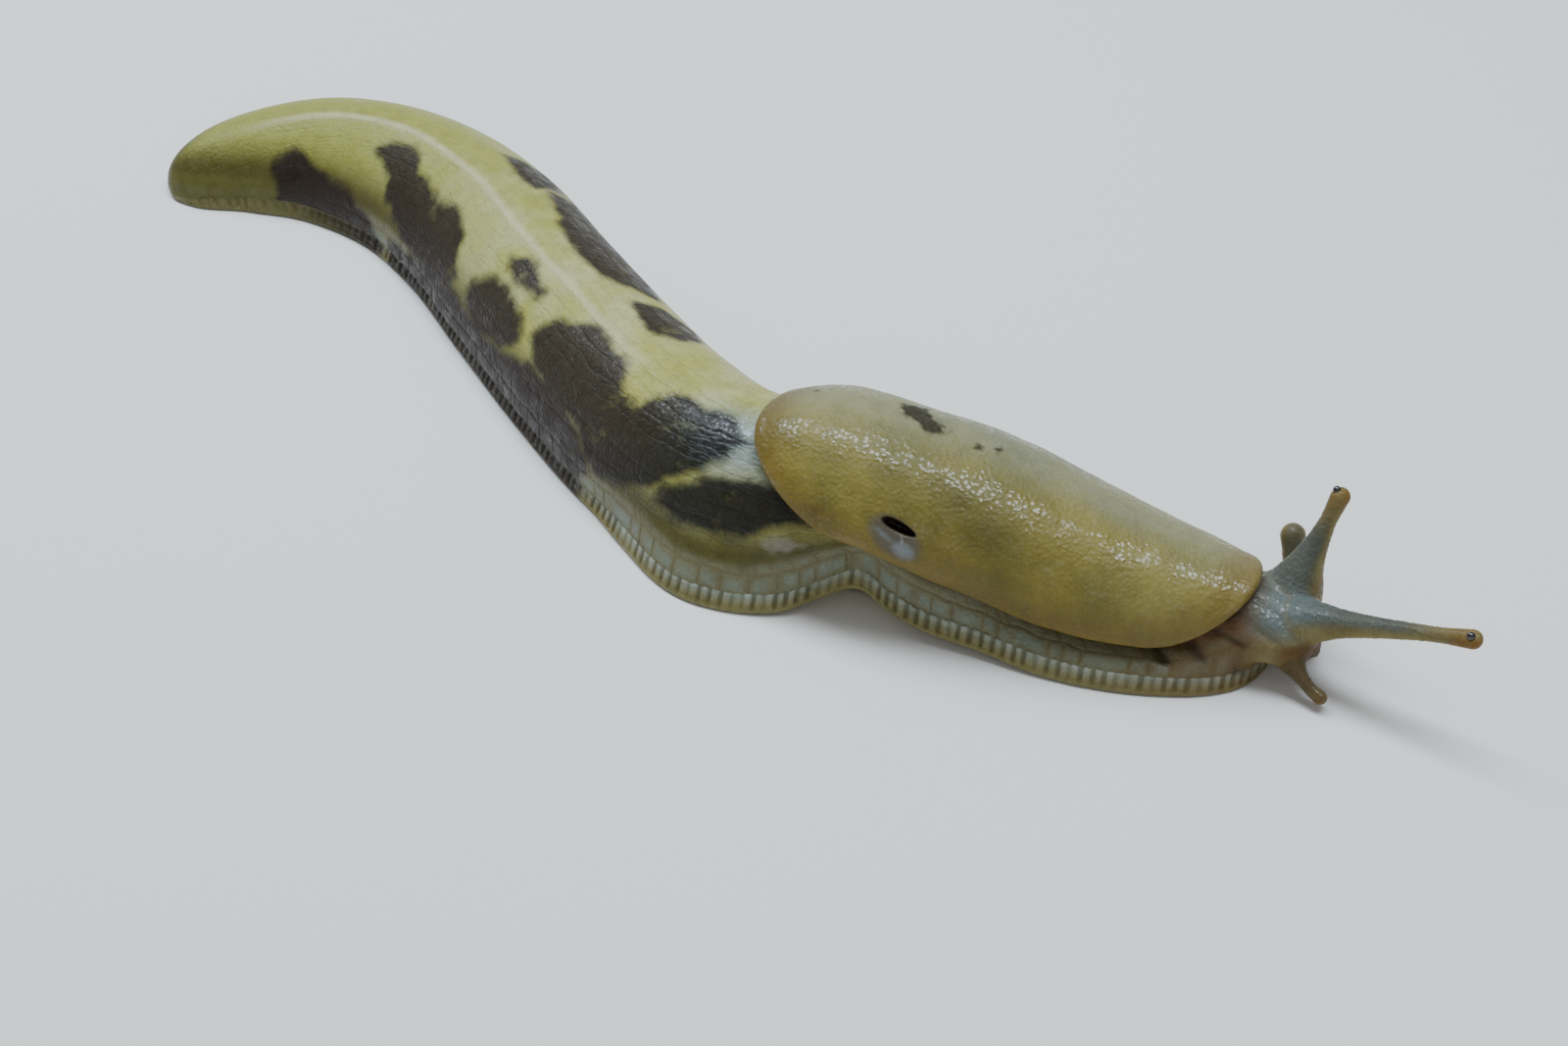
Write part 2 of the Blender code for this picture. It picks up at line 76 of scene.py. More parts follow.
# The solids' own forms, repeated from the part's source.
CENTRE_LINE = [
    (-86.1, -1.5), (-79.2, 7.6), (-69.0, 13.6), (-56.0, 14.6), (-42.5, 10.7), (-28.5, 3.7), (-13.5, -3.7),
    (0.5, -9.7), (14.0, -13.0), (28.2, -10.7), (42.3, -6.6), (56.3, -3.0), (68.2, 0.3), (77.0, 3.0),
]
TO_ORIGIN = (-2.9, 0.5)
BODY_HALF_WIDTH = [
    (0.0, 0.7), (0.8, 2.3), (3.0, 4.3), (8.0, 6.7), (15.0, 8.5), (28.0, 10.2), (55.0, 11.3), (85.0, 11.4),
    (108.0, 11.4), (125.0, 10.9), (140.0, 9.9), (155.0, 8.2), (165.0, 6.4), (170.0, 5.7), (173.5, 5.6),
    (176.0, 4.0), (177.3, 1.6),
]
BACK_HEIGHT = [
    (0.0, 2.4), (0.8, 4.0), (3.0, 5.9), (8.0, 8.1), (15.0, 10.1), (28.0, 12.4), (55.0, 14.6), (75.0, 15.1),
    (90.0, 15.7), (104.0, 16.5), (114.0, 17.4), (125.0, 18.3), (138.0, 16.8), (150.0, 13.6), (160.0, 11.3),
    (168.0, 10.2), (173.5, 9.4), (176.0, 7.6), (177.3, 5.6),
]
FOOT_TOP = [(0.0, 1.2), (6.0, 1.8), (20.0, 2.5), (150.0, 2.6), (165.0, 2.4), (172.5, 2.0)]
WAIST_HEIGHT = [
    (0.0, 1.35), (6.0, 1.95), (20.0, 2.65), (150.0, 2.75), (162.0, 2.75), (168.0, 3.6), (173.0, 4.9),
    (177.3, 4.6),
]
BELLY_HEIGHT = [
    (0.0, 1.35), (6.0, 1.95), (20.0, 2.65), (150.0, 2.75), (172.0, 2.7), (174.5, 2.1), (176.4, 2.6),
    (177.3, 3.6),
]
BACK_ROUNDNESS = [(0.0, 1.75), (20.0, 1.7), (55.0, 1.82), (90.0, 2.0), (125.0, 2.1), (177.3, 2.0)]
FOOT_HALF_WIDTH = [
    (0.0, 1.2), (0.8, 2.8), (3.0, 4.9), (8.0, 7.2), (15.0, 8.9), (28.0, 10.4), (55.0, 11.2), (85.0, 11.4),
    (99.0, 11.5), (106.0, 12.0), (113.0, 13.3), (118.0, 12.5), (124.0, 11.2), (136.0, 11.9), (148.0, 11.7),
    (157.0, 11.0), (164.0, 9.4), (169.0, 6.9), (171.5, 3.9), (172.4, 1.6),
]
FOOT_ASIDE = [(0.0, 0.0), (98.0, 0.0), (113.0, -0.8), (119.0, -0.5), (128.0, 0.0), (172.4, 0.0)]
LIFTED = [
    (117.0, 0.0), (121.0, 0.12), (125.0, 0.6), (128.5, 1.0), (132.0, 0.7), (137.0, 0.42), (143.0, 0.28),
    (149.0, 0.08), (154.0, 0.0),
]
LIFT = 3.2
LIFT_INWARD = 3.6
LIFT_REACH = (4.0, 10.0)
LIFT_FADE = (3.2, 14.0)

MANTLE_REAR = 114.6
MANTLE_FRONT = 170.2
MANTLE_REAR_ROUND = 19.0
MANTLE_FRONT_ROUND = 11.0
MANTLE_REACH_DEG = [(114.6, 63.0), (124.0, 65.0), (130.0, 67.0), (138.0, 73.0), (148.0, 78.0), (170.2, 79.0)]
MANTLE_THICKNESS = [(114.6, 1.9), (124.0, 2.7), (140.0, 2.7), (160.0, 2.0), (170.2, 1.4)]
MANTLE_EDGE_THICKNESS = 0.8
MANTLE_EDGE_RISE = 3.2
HOLE_STATION = 133.0
HOLE_DEG = 43.0
HOLE_SLANT_DEG = -15.0

FEELERS = {
    "upper_right": (
        [(73.0, 0.8, 6.2), (77.6, 0.9, 8.3), (83.0, 0.9, 10.4), (88.5, 1.2, 12.2), (93.4, 1.6, 13.6)],
        [(0.0, 2.9), (0.2, 2.3), (0.38, 1.45), (0.6, 1.05), (0.85, 0.85), (0.93, 0.95), (1.0, 1.05)],
    ),
    "upper_left": (
        [(72.2, 3.4, 5.6), (72.8, 5.1, 10.0), (73.4, 6.9, 13.6), (74.2, 8.9, 18.2)],
        [(0.0, 3.6), (0.25, 3.0), (0.42, 2.0), (0.62, 1.25), (0.82, 0.95), (0.92, 1.0), (1.0, 1.08)],
    ),
    "lower_right": (
        [(73.8, -0.6, 4.6), (76.4, -1.9, 3.4), (78.4, -2.5, 2.2), (79.9, -2.7, 1.6)],
        [(0.0, 2.2), (0.3, 1.7), (0.6, 0.95), (0.85, 0.75), (1.0, 0.8)],
    ),
    "lower_left": (
        [(71.9, 6.2, 4.2), (70.6, 8.4, 5.4), (69.5, 9.9, 7.0), (68.7, 11.0, 8.8)],
        [(0.0, 2.3), (0.3, 1.8), (0.6, 1.15), (0.85, 1.25), (1.0, 1.4)],
    ),
}
MOUTH_STATION = 176.3
MOUTH_HEIGHT = 3.2
LOBE_HALF_SIZE = (1.2, 1.0, 0.95)
LOBE_SPREAD = 1.25

# Outlines of the dark blotches on the back and sides, as (station, across). The two that reach past the right
# waist darken the lower right flank and the foot below it, partly as dark skin and partly as painted shade.
BLOTCHES = [
    [(108.4, -0.76), (109.2, -0.65), (112.2, -0.53), (116.5, -0.455), (122.0, -0.47), (127.0, -0.6),
     (122.6, -0.63), (119.5, -0.69), (115.0, -0.77), (111.5, -0.81)],
    [(98.8, -0.37), (101.6, -0.34), (102.8, -0.23), (105.4, -0.12), (109.0, -0.13), (112.0, -0.16),
     (114.6, -0.25), (113.4, -0.37), (111.2, -0.53), (108.8, -0.62), (106.8, -0.73), (103.0, -0.825),
     (99.5, -0.84), (97.0, -0.76), (95.3, -0.6)],
    [(81.9, -0.5), (82.8, -0.34), (86.8, -0.2), (90.2, -0.16), (94.4, -0.19), (97.2, -0.29), (99.4, -0.39),
     (97.8, -0.55), (95.3, -0.68), (90.0, -0.67), (84.6, -0.62)],
    [(66.0, -0.58), (68.5, -0.49), (71.5, -0.445), (75.0, -0.445), (78.0, -0.5), (79.4, -0.61), (77.2, -0.73),
     (70.3, -0.8), (66.4, -0.72)],
    [(69.0, -0.29), (71.2, -0.21), (75.0, -0.21), (78.2, -0.27), (77.7, -0.34), (74.2, -0.36), (70.8, -0.34)],
    [(33.7, -0.36), (35.6, -0.29), (39.8, -0.235), (44.2, -0.375), (48.6, -0.435), (52.2, -0.39),
     (55.8, -0.375), (60.2, -0.43), (61.8, -0.57), (63.6, -0.66), (60.5, -0.84), (52.0, -0.84),
     (44.4, -0.74), (40.2, -0.62), (39.4, -0.5), (36.0, -0.44)],
    # This outline and the next reach down over the right foot: partly dark skin, partly painted shade.
    [(15.4, -0.64), (17.2, -0.53), (19.9, -0.51), (24.5, -0.66), (31.6, -0.72), (36.5, -0.84), (42.0, -1.0),
     (42.0, -1.4), (15.0, -1.4), (16.5, -0.8)],
    [(52.0, -0.82), (60.0, -0.73), (67.0, -0.76), (73.0, -0.79), (79.0, -0.74), (84.0, -0.65), (92.0, -0.66),
     (96.0, -0.76), (98.5, -0.88), (96.0, -1.02), (92.0, -1.4), (40.0, -1.4), (44.0, -0.94)],
    [(48.4, 0.26), (49.3, 0.42), (52.0, 0.62), (57.0, 0.46), (57.2, 0.24), (53.6, 0.2)],
    [(57.6, 0.33), (58.0, 0.56), (62.0, 0.72), (70.0, 0.62), (79.0, 0.6), (84.0, 0.42), (81.8, 0.22),
     (79.6, 0.15), (75.0, 0.11), (69.0, 0.14), (62.4, 0.24)],
    [(85.8, 0.19), (86.6, 0.38), (90.0, 0.52), (95.0, 0.42), (96.0, 0.22), (93.4, 0.1), (89.6, 0.1)],
    [(22.0, 0.55), (33.0, 0.48), (39.0, 0.76), (31.0, 0.98), (21.0, 0.86)],
    [(98.0, 0.52), (108.0, 0.46), (112.0, 0.72), (103.0, 0.88), (96.0, 0.76)],
    [(66.0, 0.84), (84.0, 0.74), (93.0, 0.86), (90.0, 1.0), (62.0, 1.0)],
]
SCAR = (120.8, -0.762)
# The mantle's dark spot, as (station, share of the way to the waist), and its specks, with their radius too.
SPOT_STATION = 132.2
SPOT = [(128.8, 0.2), (131.6, 0.23), (134.3, 0.12), (135.2, 0.03), (133.6, -0.01), (131.4, 0.04), (129.2, 0.1)]
SPECKS = [
    (138.8, 0.014, 0.4), (140.8, 0.056, 0.45), (119.5, 0.12, 0.45), (146.0, 0.42, 0.5), (152.0, 0.5, 0.7),
    (150.5, 0.36, 0.4),
]

SKIN_NODES = [
    "tail_end", "tail", "trunk_rear", "trunk_middle", "trunk_front", "neck", "head", "foot_tail", "foot_rear",
    "foot_middle", "foot_front", "foot_toe", "upper_feeler_right", "upper_feeler_left", "lower_feeler_right",
    "lower_feeler_left",
]


def linear(red, green, blue):
    """A colour for a shader from its screen values between 0 and 255."""
    parts = [v / 255 for v in (red, green, blue)]
    parts = [v / 12.92 if v <= 0.04045 else ((v + 0.055) / 1.055) ** 2.4 for v in parts]
    return (*parts, 1.0)


def length_setting(name, description, millimetres):
    """A property that holds a length."""
    return bpy.props.FloatProperty(
        name=name, description=description, default=millimetres * MM, min=0.0, precision=5, subtype="DISTANCE",
        unit="LENGTH")


def colour_setting(name, description, red, green, blue):
    """A property that holds a colour."""
    return bpy.props.FloatVectorProperty(
        name=name, description=description, default=linear(red, green, blue), size=4, min=0.0, max=1.0,
        subtype="COLOR")


def power_setting(name, description, watts):
    """A property that holds a light's power."""
    return bpy.props.FloatProperty(name=name, description=description, default=watts, min=0.0, unit="POWER")


class SlugSkinSettings(bpy.types.PropertyGroup):
    """Sizes and colours of the skin."""

    mesh_size: length_setting("Mesh Size", "Side of the skin's small faces", 0.2)
    furrow_depth: length_setting("Furrow Depth", "Depth of the furrows between the body's long tubercles", 0.05)
    fringe_pitch: length_setting("Fringe Pitch", "Length of one upright block of the foot's fringe", 1.25)
    fringe_depth: length_setting("Fringe Depth", "Depth of the upright furrows in the foot's fringe", 0.2)
    back: colour_setting("Back", "Khaki of the back", 163, 161, 84)
    # The pale keel line is partly a painted highlight along the back's crest.
    keel: colour_setting("Keel", "Pale line along the top of the back", 192, 190, 150)
    # The lower sides' olive is partly the skin's own colour and partly painted shade.
    flank_and_shade: colour_setting("Flank", "Olive of the lower sides", 76, 70, 30)
    blotch: colour_setting("Blotch", "Dark brown of the blotches", 42, 31, 27)
    tail: colour_setting("Tail", "Yellow olive of the tail", 146, 147, 70)
    belt: colour_setting("Belt", "Pale grey of the tubercles above the fringe", 122, 132, 118)
    neck: colour_setting("Neck", "Tan and mauve of the neck", 95, 66, 30)
    head: colour_setting("Head", "Grey of the top of the head", 92, 104, 104)
    snout: colour_setting("Snout", "Amber brown of the lower front of the head", 92, 64, 26)
    fringe: colour_setting("Fringe", "Pale grey of the fringe's blocks", 156, 163, 150)
    rim: colour_setting("Rim", "Golden lower rim of the fringe", 122, 114, 62)
    scar: colour_setting("Scar", "Pale scar behind the breathing hole", 142, 134, 122)
    sole: colour_setting("Sole", "Cream of the sole", 150, 140, 95)
    stalk: colour_setting("Feeler", "Tan of the feelers", 128, 118, 72)
    stripe: colour_setting("Feeler Stripe", "Grey of the feelers' upper side", 84, 87, 78)
    tip: colour_setting("Feeler Tip", "Amber of the feelers' tips", 124, 88, 34)


class SlugMantleSettings(bpy.types.PropertyGroup):
    """Sizes and colours of the mantle."""

    mesh_size: length_setting("Mesh Size", "Side of the mantle's small faces", 0.15)
    grain_size: length_setting("Grain Size", "Size of the mantle's grains", 0.5)
    grain_depth: length_setting("Grain Depth", "Depth of the furrows between the mantle's grains", 0.035)
    ochre: colour_setting("Ochre", "Main colour of the mantle", 134, 123, 58)
    olive: colour_setting("Olive", "Duller patches of the mantle", 108, 102, 50)
    # Amber of the mantle's edge; on its lower side the darker amber is partly painted shade.
    amber: colour_setting("Amber", "Darker lower edge of the mantle", 104, 75, 14)
    spot: colour_setting("Spot", "Dark brown spot and specks", 34, 28, 16)
    hollow: colour_setting("Hollow", "Grey of the hollow under the breathing hole", 90, 84, 76)
    # Painted shade: the breathing hole is only a shallow dip, and this near-black stands in for the shade
    # inside it.
    hole: colour_setting("Hole", "Inside of the breathing hole", 30, 21, 13)


class SlugEyeSettings(bpy.types.PropertyGroup):
    """Sizes and colours of the eyes."""

    radius: length_setting("Radius", "Radius of an eye", 0.45)
    dark: colour_setting("Dark", "Centre of an eye", 10, 8, 10)
    brown: colour_setting("Brown", "Rim of an eye", 52, 32, 20)


class SlugStageSettings(bpy.types.PropertyGroup):
    """Sizes and colours of the floor and the lights."""

    floor_size: length_setting("Floor Size", "Side of the floor", 6000.0)
    floor: colour_setting("Floor", "Colour of the floor", 236, 235, 232)
    main_light: power_setting("Main Light", "Power of the light above the slug", 4.2)
    sky_light: power_setting("Sky Light", "Power of the blue strip in front of the main light", 2.2)
    side_light: power_setting("Side Light", "Power of the light from the front", 0.5)


def unit(v):
    """Vectors made one long."""
    return v / np.linalg.norm(v, axis=-1, keepdims=True)


def run_along(points):
    """How far along a line each of its points lies."""
    return np.concatenate([[0.0], np.cumsum(np.linalg.norm(np.diff(points, axis=0), axis=1))])


def put(name, data):
    """A new object in the scene."""
    made = bpy.data.objects.new(name, data)
    bpy.context.scene.collection.objects.link(made)
    return made


def smooth_line(points, steps=24):
    """Points along a smooth curve through these ones."""
    p = np.array(points, float)
    p = np.vstack([2 * p[0] - p[1], p, 2 * p[-1] - p[-2]])
    made = []
    for a, b, c, d in zip(p, p[1:], p[2:], p[3:]):
        for k in range(steps):
            t = k / steps
            made.append(0.5 * (2 * b + (c - a) * t + (2 * a - 5 * b + 4 * c - d) * t**2
                               + (3 * b - a - 3 * c + d) * t**3))
    made.append(p[-2])
    return np.array(made)


LINE = smooth_line(CENTRE_LINE)
RUN = run_along(LINE)


def size_at(table, station):
    """The size at each station, eased between the table's entries without overshoot."""
    x, y = np.array(table, float).T
    step = np.diff(x)
    slope = np.diff(y) / step
    lean = np.zeros(len(x))
    lean[0], lean[-1] = slope[0], slope[-1]
    for i in range(1, len(x) - 1):
        if slope[i - 1] * slope[i] > 0:
            w1, w2 = 2 * step[i] + step[i - 1], step[i] + 2 * step[i - 1]
            lean[i] = (w1 + w2) / (w1 / slope[i - 1] + w2 / slope[i])
    s = np.clip(station, x[0], x[-1])
    i = np.clip(np.searchsorted(x, s, side="right") - 1, 0, len(x) - 2)
    t = (s - x[i]) / step[i]
    return ((2 * t**3 - 3 * t**2 + 1) * y[i] + (t**3 - 2 * t**2 + t) * step[i] * lean[i]
            + (3 * t**2 - 2 * t**3) * y[i + 1] + (t**3 - t**2) * step[i] * lean[i + 1])


def line_point(station):
    """The centre line's points at stations."""
    return np.stack([np.interp(station, RUN, LINE[:, k]) for k in range(2)], -1)


def eased(value, low, high):
    """0 below one value and 1 above another, with an even turn between them."""
    t = np.clip((value - low) / (high - low), 0.0, 1.0)
    return t * t * (3 - 2 * t)


def place(station, aside, height):
    """Points given by station, distance to the animal's left, and height."""
    station, aside, height = np.broadcast_arrays(station, aside, height)
    lifted = size_at(LIFTED, station) * eased(-aside, *LIFT_REACH) * (1 - eased(height, *LIFT_FADE))
    aside = aside + LIFT_INWARD * lifted
    height = height + LIFT * lifted
    ahead = unit(line_point(station + 1.5) - line_point(station - 1.5))
    flat = line_point(station) + aside[..., None] * np.stack([-ahead[..., 1], ahead[..., 0]], -1)
    return np.concatenate([flat + np.array(TO_ORIGIN), height[..., None]], -1)


def bowed(value, roundness):
    """A sine or cosine, drawn towards a sharper or squarer curve."""
    return np.sign(value) * np.abs(value) ** (2 / roundness)


def back_point(station, angle, grow=0.0):
    """Points on the back, at an angle from the right side (0) over the top to the left side (pi)."""
    width = size_at(BODY_HALF_WIDTH, station) + grow
    waist = size_at(WAIST_HEIGHT, station)
    rise = size_at(BACK_HEIGHT, station) + grow - waist
    roundness = size_at(BACK_ROUNDNESS, station)
    return place(station, -width * bowed(np.cos(angle), roundness),
                 waist + rise * bowed(np.sin(angle), roundness))


def quarter_girth(station):
    """The way over the skin from the waist to the top of the back."""
    width = size_at(BODY_HALF_WIDTH, station)
    rise = size_at(BACK_HEIGHT, station) - size_at(WAIST_HEIGHT, station)
    return math.pi / 2 * np.sqrt((width**2 + rise**2) / 2)


def scatter(cell, seed):
    """An even spread of values between 0 and 1, one for each whole-numbered cell."""
    n = (cell[..., 0] * 374761393 + cell[..., 1] * 668265263 + cell[..., 2] * 1442695041 + seed * 974634777)
    n = n & 0xFFFFFFFF
    n = ((n ^ (n >> 13)) * 1274126177) & 0xFFFFFFFF
    n = ((n ^ (n >> 16)) * 2246822519) & 0xFFFFFFFF
    return ((n ^ (n >> 15)) & 0xFFFFFF) / 0xFFFFFF


def drift(points, size, seed):
    """Smooth noise between -1 and 1 that changes over a size."""
    p = points / size
    cell = np.floor(p).astype(np.int64)
    t = p - cell
    t = t * t * (3 - 2 * t)
    total = 0.0
    for corner in np.ndindex(2, 2, 2):
        share = np.prod(np.where(np.array(corner), t, 1 - t), axis=-1)
        total = total + share * scatter(cell + np.array(corner), seed)
    return 2 * total - 1


def closed_loft(rings, fields):
    """A closed shape through rings of points: its points, triangles and the fields of its points."""
    rows, columns = rings.shape[:2]
    points = np.concatenate([rings.reshape(-1, 3), rings[0].mean(0)[None], rings[-1].mean(0)[None]])
    flat = fields.reshape(-1, fields.shape[-1])
    flat = np.concatenate([flat, fields[0].mean(0)[None], fields[-1].mean(0)[None]])
    here = np.arange(rows * columns).reshape(rows, columns)
    beside = np.roll(here, -1, axis=1)
    a, b, c, d = here[:-1].ravel(), beside[:-1].ravel(), beside[1:].ravel(), here[1:].ravel()
    first, last = rows * columns, rows * columns + 1
    caps = [
        np.stack([beside[0], here[0], np.full(columns, first)], -1),
        np.stack([here[-1], beside[-1], np.full(columns, last)], -1),
    ]
    triangles = np.concatenate([np.stack([a, b, c], -1), np.stack([a, c, d], -1), *caps])
    return points, triangles, flat


FIELDS = ("along", "across", "level", "up", "foot", "belly", "stalk", "low", "reach", "top")


def fields_of(shape, **values):
    """The fields of an array of points, all 0 but those that are given."""
    made = np.zeros((*shape, len(FIELDS)))
    for name, value in values.items():
        made[..., FIELDS.index(name)] = value
    return made


def foot_edge(station, side):
    """How far the foot's edge is from the centre line, on the right (-1) or the left (1)."""
    return size_at(FOOT_HALF_WIDTH, station) + side * size_at(FOOT_ASIDE, station)


def edge_run(along, across):
    """How far along the foot's edge points lie, from the tail, on their own side."""
    station = np.arange(0.0, 172.6, 0.25)
    runs = []
    for side in (-1, 1):
        edge = place(station, side * foot_edge(station, side), 0.0)
        runs.append(np.interp(along, station, run_along(edge)))
    return np.where(across > 0, runs[1], runs[0])


def rows_to(end, *last):
    """Stations for a shape's rings, close together at the tail and then evenly up to an end."""
    return np.concatenate([[0.15, 0.35, 0.6, 0.9], np.arange(1.3, end, ROW_STEP), last])[:, None]


def shelf_at(row, side):
    """How far the foot's edge stands out beyond the body's side."""
    return np.maximum(foot_edge(row, side) - FOOT_LIP - size_at(BODY_HALF_WIDTH, row), 0.0)


def body_shape():
    """The body above the foot, sunk a little into it."""
    row = rows_to(177.0, 177.1, 177.3)
    angle = np.linspace(0, math.pi, 97)[None, :]
    back = back_point(row, angle)
    across = 2 * angle / math.pi - 1
    up = shelf_at(row, np.sign(across)) + 0.3 + (1 - np.abs(across)) * quarter_girth(row)
    top = fields_of(back.shape[:2], along=row, across=across, level=2.0, up=up)

    on_foot = eased(row, 172.0, 169.5)
    width = size_at(BODY_HALF_WIDTH, row)
    waist = size_at(WAIST_HEIGHT, row)
    belly = size_at(BELLY_HEIGHT, row) - 1.1 * on_foot * size_at(FOOT_TOP, row) / 2.6
    edge = np.maximum(np.minimum(size_at(FOOT_HALF_WIDTH, row), width + 1.0), 1.0)
    half = np.maximum(edge - 0.3 * edge**0.8, 0.55 * width)
    side_aside = width - 0.25
    side_height = waist + (belly - waist) * 0.5
    shares = np.concatenate([[1.0], np.linspace(0.97, -0.97, 21), [-1.0]])[None, :]
    aside = np.where(np.abs(shares) == 1.0, np.sign(shares) * side_aside, shares * half)
    height = np.where(np.abs(shares) == 1.0, side_height, belly)
    under = place(row, aside, height)
    below = fields_of(under.shape[:2], along=row, across=np.sign(shares), level=2.0, up=0.2, belly=1.0)
    return closed_loft(np.concatenate([back, under], 1), np.concatenate([top, below], 1))


def foot_shape():
    """The foot: a flat sole and the upright outer face of its fringe."""
    row = rows_to(172.2, 172.3)
    width = size_at(FOOT_HALF_WIDTH, row)
    height = size_at(FOOT_TOP, row)
    inset = 0.45 * np.minimum(width / 3, 1.0)
    rows = len(row)
    low = np.concatenate([0.5 * width, 0.8 * width, width - 0.8 * inset, width, width - 0.1 * inset,
                          width - 0.9 * inset, width - 2.0 * inset, np.maximum(width - 3.4, 0.6 * width),
                          0.3 * width], 1)
    rise = np.concatenate([np.zeros((rows, 3)), height * np.array([[0.14, 0.34, 0.66, 0.94, 1.0, 1.0]])], 1)
    level = np.array([-1.0, -0.5, 0.0, 0.14, 0.34, 0.66, 1.0, 1.6, 2.0])
    curve = smooth_line(np.eye(9), 6)
    aside, tall = low @ curve.T, np.maximum(rise @ curve.T, 0.0)
    levels = np.broadcast_to(curve @ level, aside.shape)
    up = np.where(levels > 1.0, np.maximum(width - 2.0 * inset - aside, 0.0), 0.0)
    belly = np.where(levels < 0.0, 1.0, 0.0)
    rings, fields = [], []
    for side in (-1, 1):
        points = place(row, size_at(FOOT_ASIDE, row) + side * aside, tall)
        found = fields_of(points.shape[:2], along=row, across=side, level=levels, up=up, foot=1.0, belly=belly)
        rings.append(points[:, ::-side])
        fields.append(found[:, ::-side])
    return closed_loft(np.concatenate(rings, 1), np.concatenate(fields, 1))


def skirt_shape(side):
    """The slope of soft skin on one side, from the body out to the top of the foot's fringe."""
    row = np.arange(3.0, 171.6, ROW_STEP)[:, None]
    ending = eased(row, 161.0, 171.5)
    reach = np.where(mantle_ends(row) < 1.0, size_at(MANTLE_REACH_DEG, row) * mantle_round(row), 0.0)
    climb = np.radians(np.minimum(SKIRT_CLIMB_DEG, 89.0 - reach))
    roundness = size_at(BACK_ROUNDNESS, row)
    width, waist = size_at(BODY_HALF_WIDTH, row), size_at(WAIST_HEIGHT, row)
    rise = size_at(BACK_HEIGHT, row) - waist
    high = np.stack([width * bowed(np.cos(climb), roundness) - 0.1,
                     waist + rise * bowed(np.sin(climb), roundness)])
    low = np.stack([foot_edge(row, side) - 0.75, size_at(FOOT_TOP, row) - 0.12])
    low[0] += (1 - ending) * np.maximum(high[0] + 0.05 - low[0], 0.0)
    bend = 0.5 * (low + high) + np.array([0.1, 0.3])[:, None, None]
    share = np.linspace(0, 1, 17)[None, :]
    slope = low * (1 - share) ** 2 + 2 * bend * share * (1 - share) + high * share**2
    inner = np.stack([0.5 * width, high[1] - 0.1]), np.stack([0.5 * width, low[1] - 0.9])
    section = np.concatenate([slope, *inner, np.stack([low[0] - 0.3, low[1] - 0.9])], 2)
    section[0] *= 1 - 0.45 * eased(row, 168.5, 171.5)
    points = place(row, side * section[0], np.maximum(section[1], 0.2))
    on_side = 2 * climb / math.pi
    rise = 0.3 + share * (shelf_at(row, side) + on_side * quarter_girth(row))
    up = np.concatenate([rise, np.zeros((len(row), 3))], 1)
    across = np.concatenate([side * (1 - share * on_side), np.full((len(row), 3), float(side))], 1)
    fields = fields_of(points.shape[:2], along=row, across=across, level=2.0, up=up)
    return closed_loft(points[:, ::-side], fields[:, ::-side])


def feeler_shape(path, radii, upper):
    """A feeler: a tapering tube along a smooth path, with a round end."""
    line = smooth_line(np.array(path) + np.array([*TO_ORIGIN, 0.0]), 8)
    run = run_along(line)
    length = run[-1]

    def point_at(distance):
        return np.stack([np.interp(distance, run, line[:, k]) for k in range(3)], -1)

    share = np.linspace(0, 1, 90)
    distance = share * length
    way = unit(point_at(np.minimum(distance + 0.5, length)) - point_at(np.maximum(distance - 0.5, 0.0)))
    turn = np.radians([8, 16, 25, 34, 43, 52, 61, 70, 78, 85])
    end = size_at(radii, 1.0)
    end_way = unit(point_at(length) - point_at(length - 0.6))
    centre = np.concatenate([point_at(distance), point_at(length) + end_way * end * np.sin(turn)[:, None]])
    way = np.concatenate([way, np.broadcast_to(end_way, (len(turn), 3))])
    radius = np.concatenate([size_at(radii, share), end * np.cos(turn)])
    reach = np.concatenate([share, 1 + end * np.sin(turn) / length])
    angle = np.linspace(0, 2 * math.pi, 44, endpoint=False)
    aside = unit(np.cross(way, np.array([0.0, 0.0, 1.0])))
    over = np.cross(aside, way)
    rings = (centre[:, None] + radius[:, None, None] * (
        aside[:, None] * np.cos(angle)[None, :, None] + over[:, None] * np.sin(angle)[None, :, None]))
    on_left = float(path[-1][1] > path[0][1] + 2.0)
    fields = fields_of(
        rings.shape[:2], along=174.0, level=2.0, up=3.0 + 9.0 * on_left, stalk=float(upper),
        low=float(not upper), reach=reach[:, None], top=np.sin(angle)[None, :])
    return closed_loft(rings, fields)


def mouth_ways():
    """The ways ahead and to the left at the mouth."""
    ahead = unit(place(MOUTH_STATION + 1, 0, 0) - place(MOUTH_STATION, 0, 0))
    return ahead, np.array([-ahead[1], ahead[0], 0.0])


def lobe_shape(side):
    """One of the two lobes beside the mouth."""
    centre = place(MOUTH_STATION, side * LOBE_SPREAD, MOUTH_HEIGHT)
    ahead, left = mouth_ways()
    turn = np.radians(np.linspace(4, 176, 24))[:, None]
    angle = np.linspace(0, 2 * math.pi, 32, endpoint=False)[None, :]
    a, b, c = LOBE_HALF_SIZE
    rings = (centre - ahead * (a * np.cos(turn) * np.ones_like(angle))[..., None]
             + left * (b * np.sin(turn) * np.cos(angle))[..., None]
             + np.array([0, 0, 1.0]) * (c * np.sin(turn) * np.sin(angle))[..., None])
    fields = fields_of(rings.shape[:2], along=MOUTH_STATION, across=side * 0.9, level=2.0, up=6.0)
    return closed_loft(rings, fields)


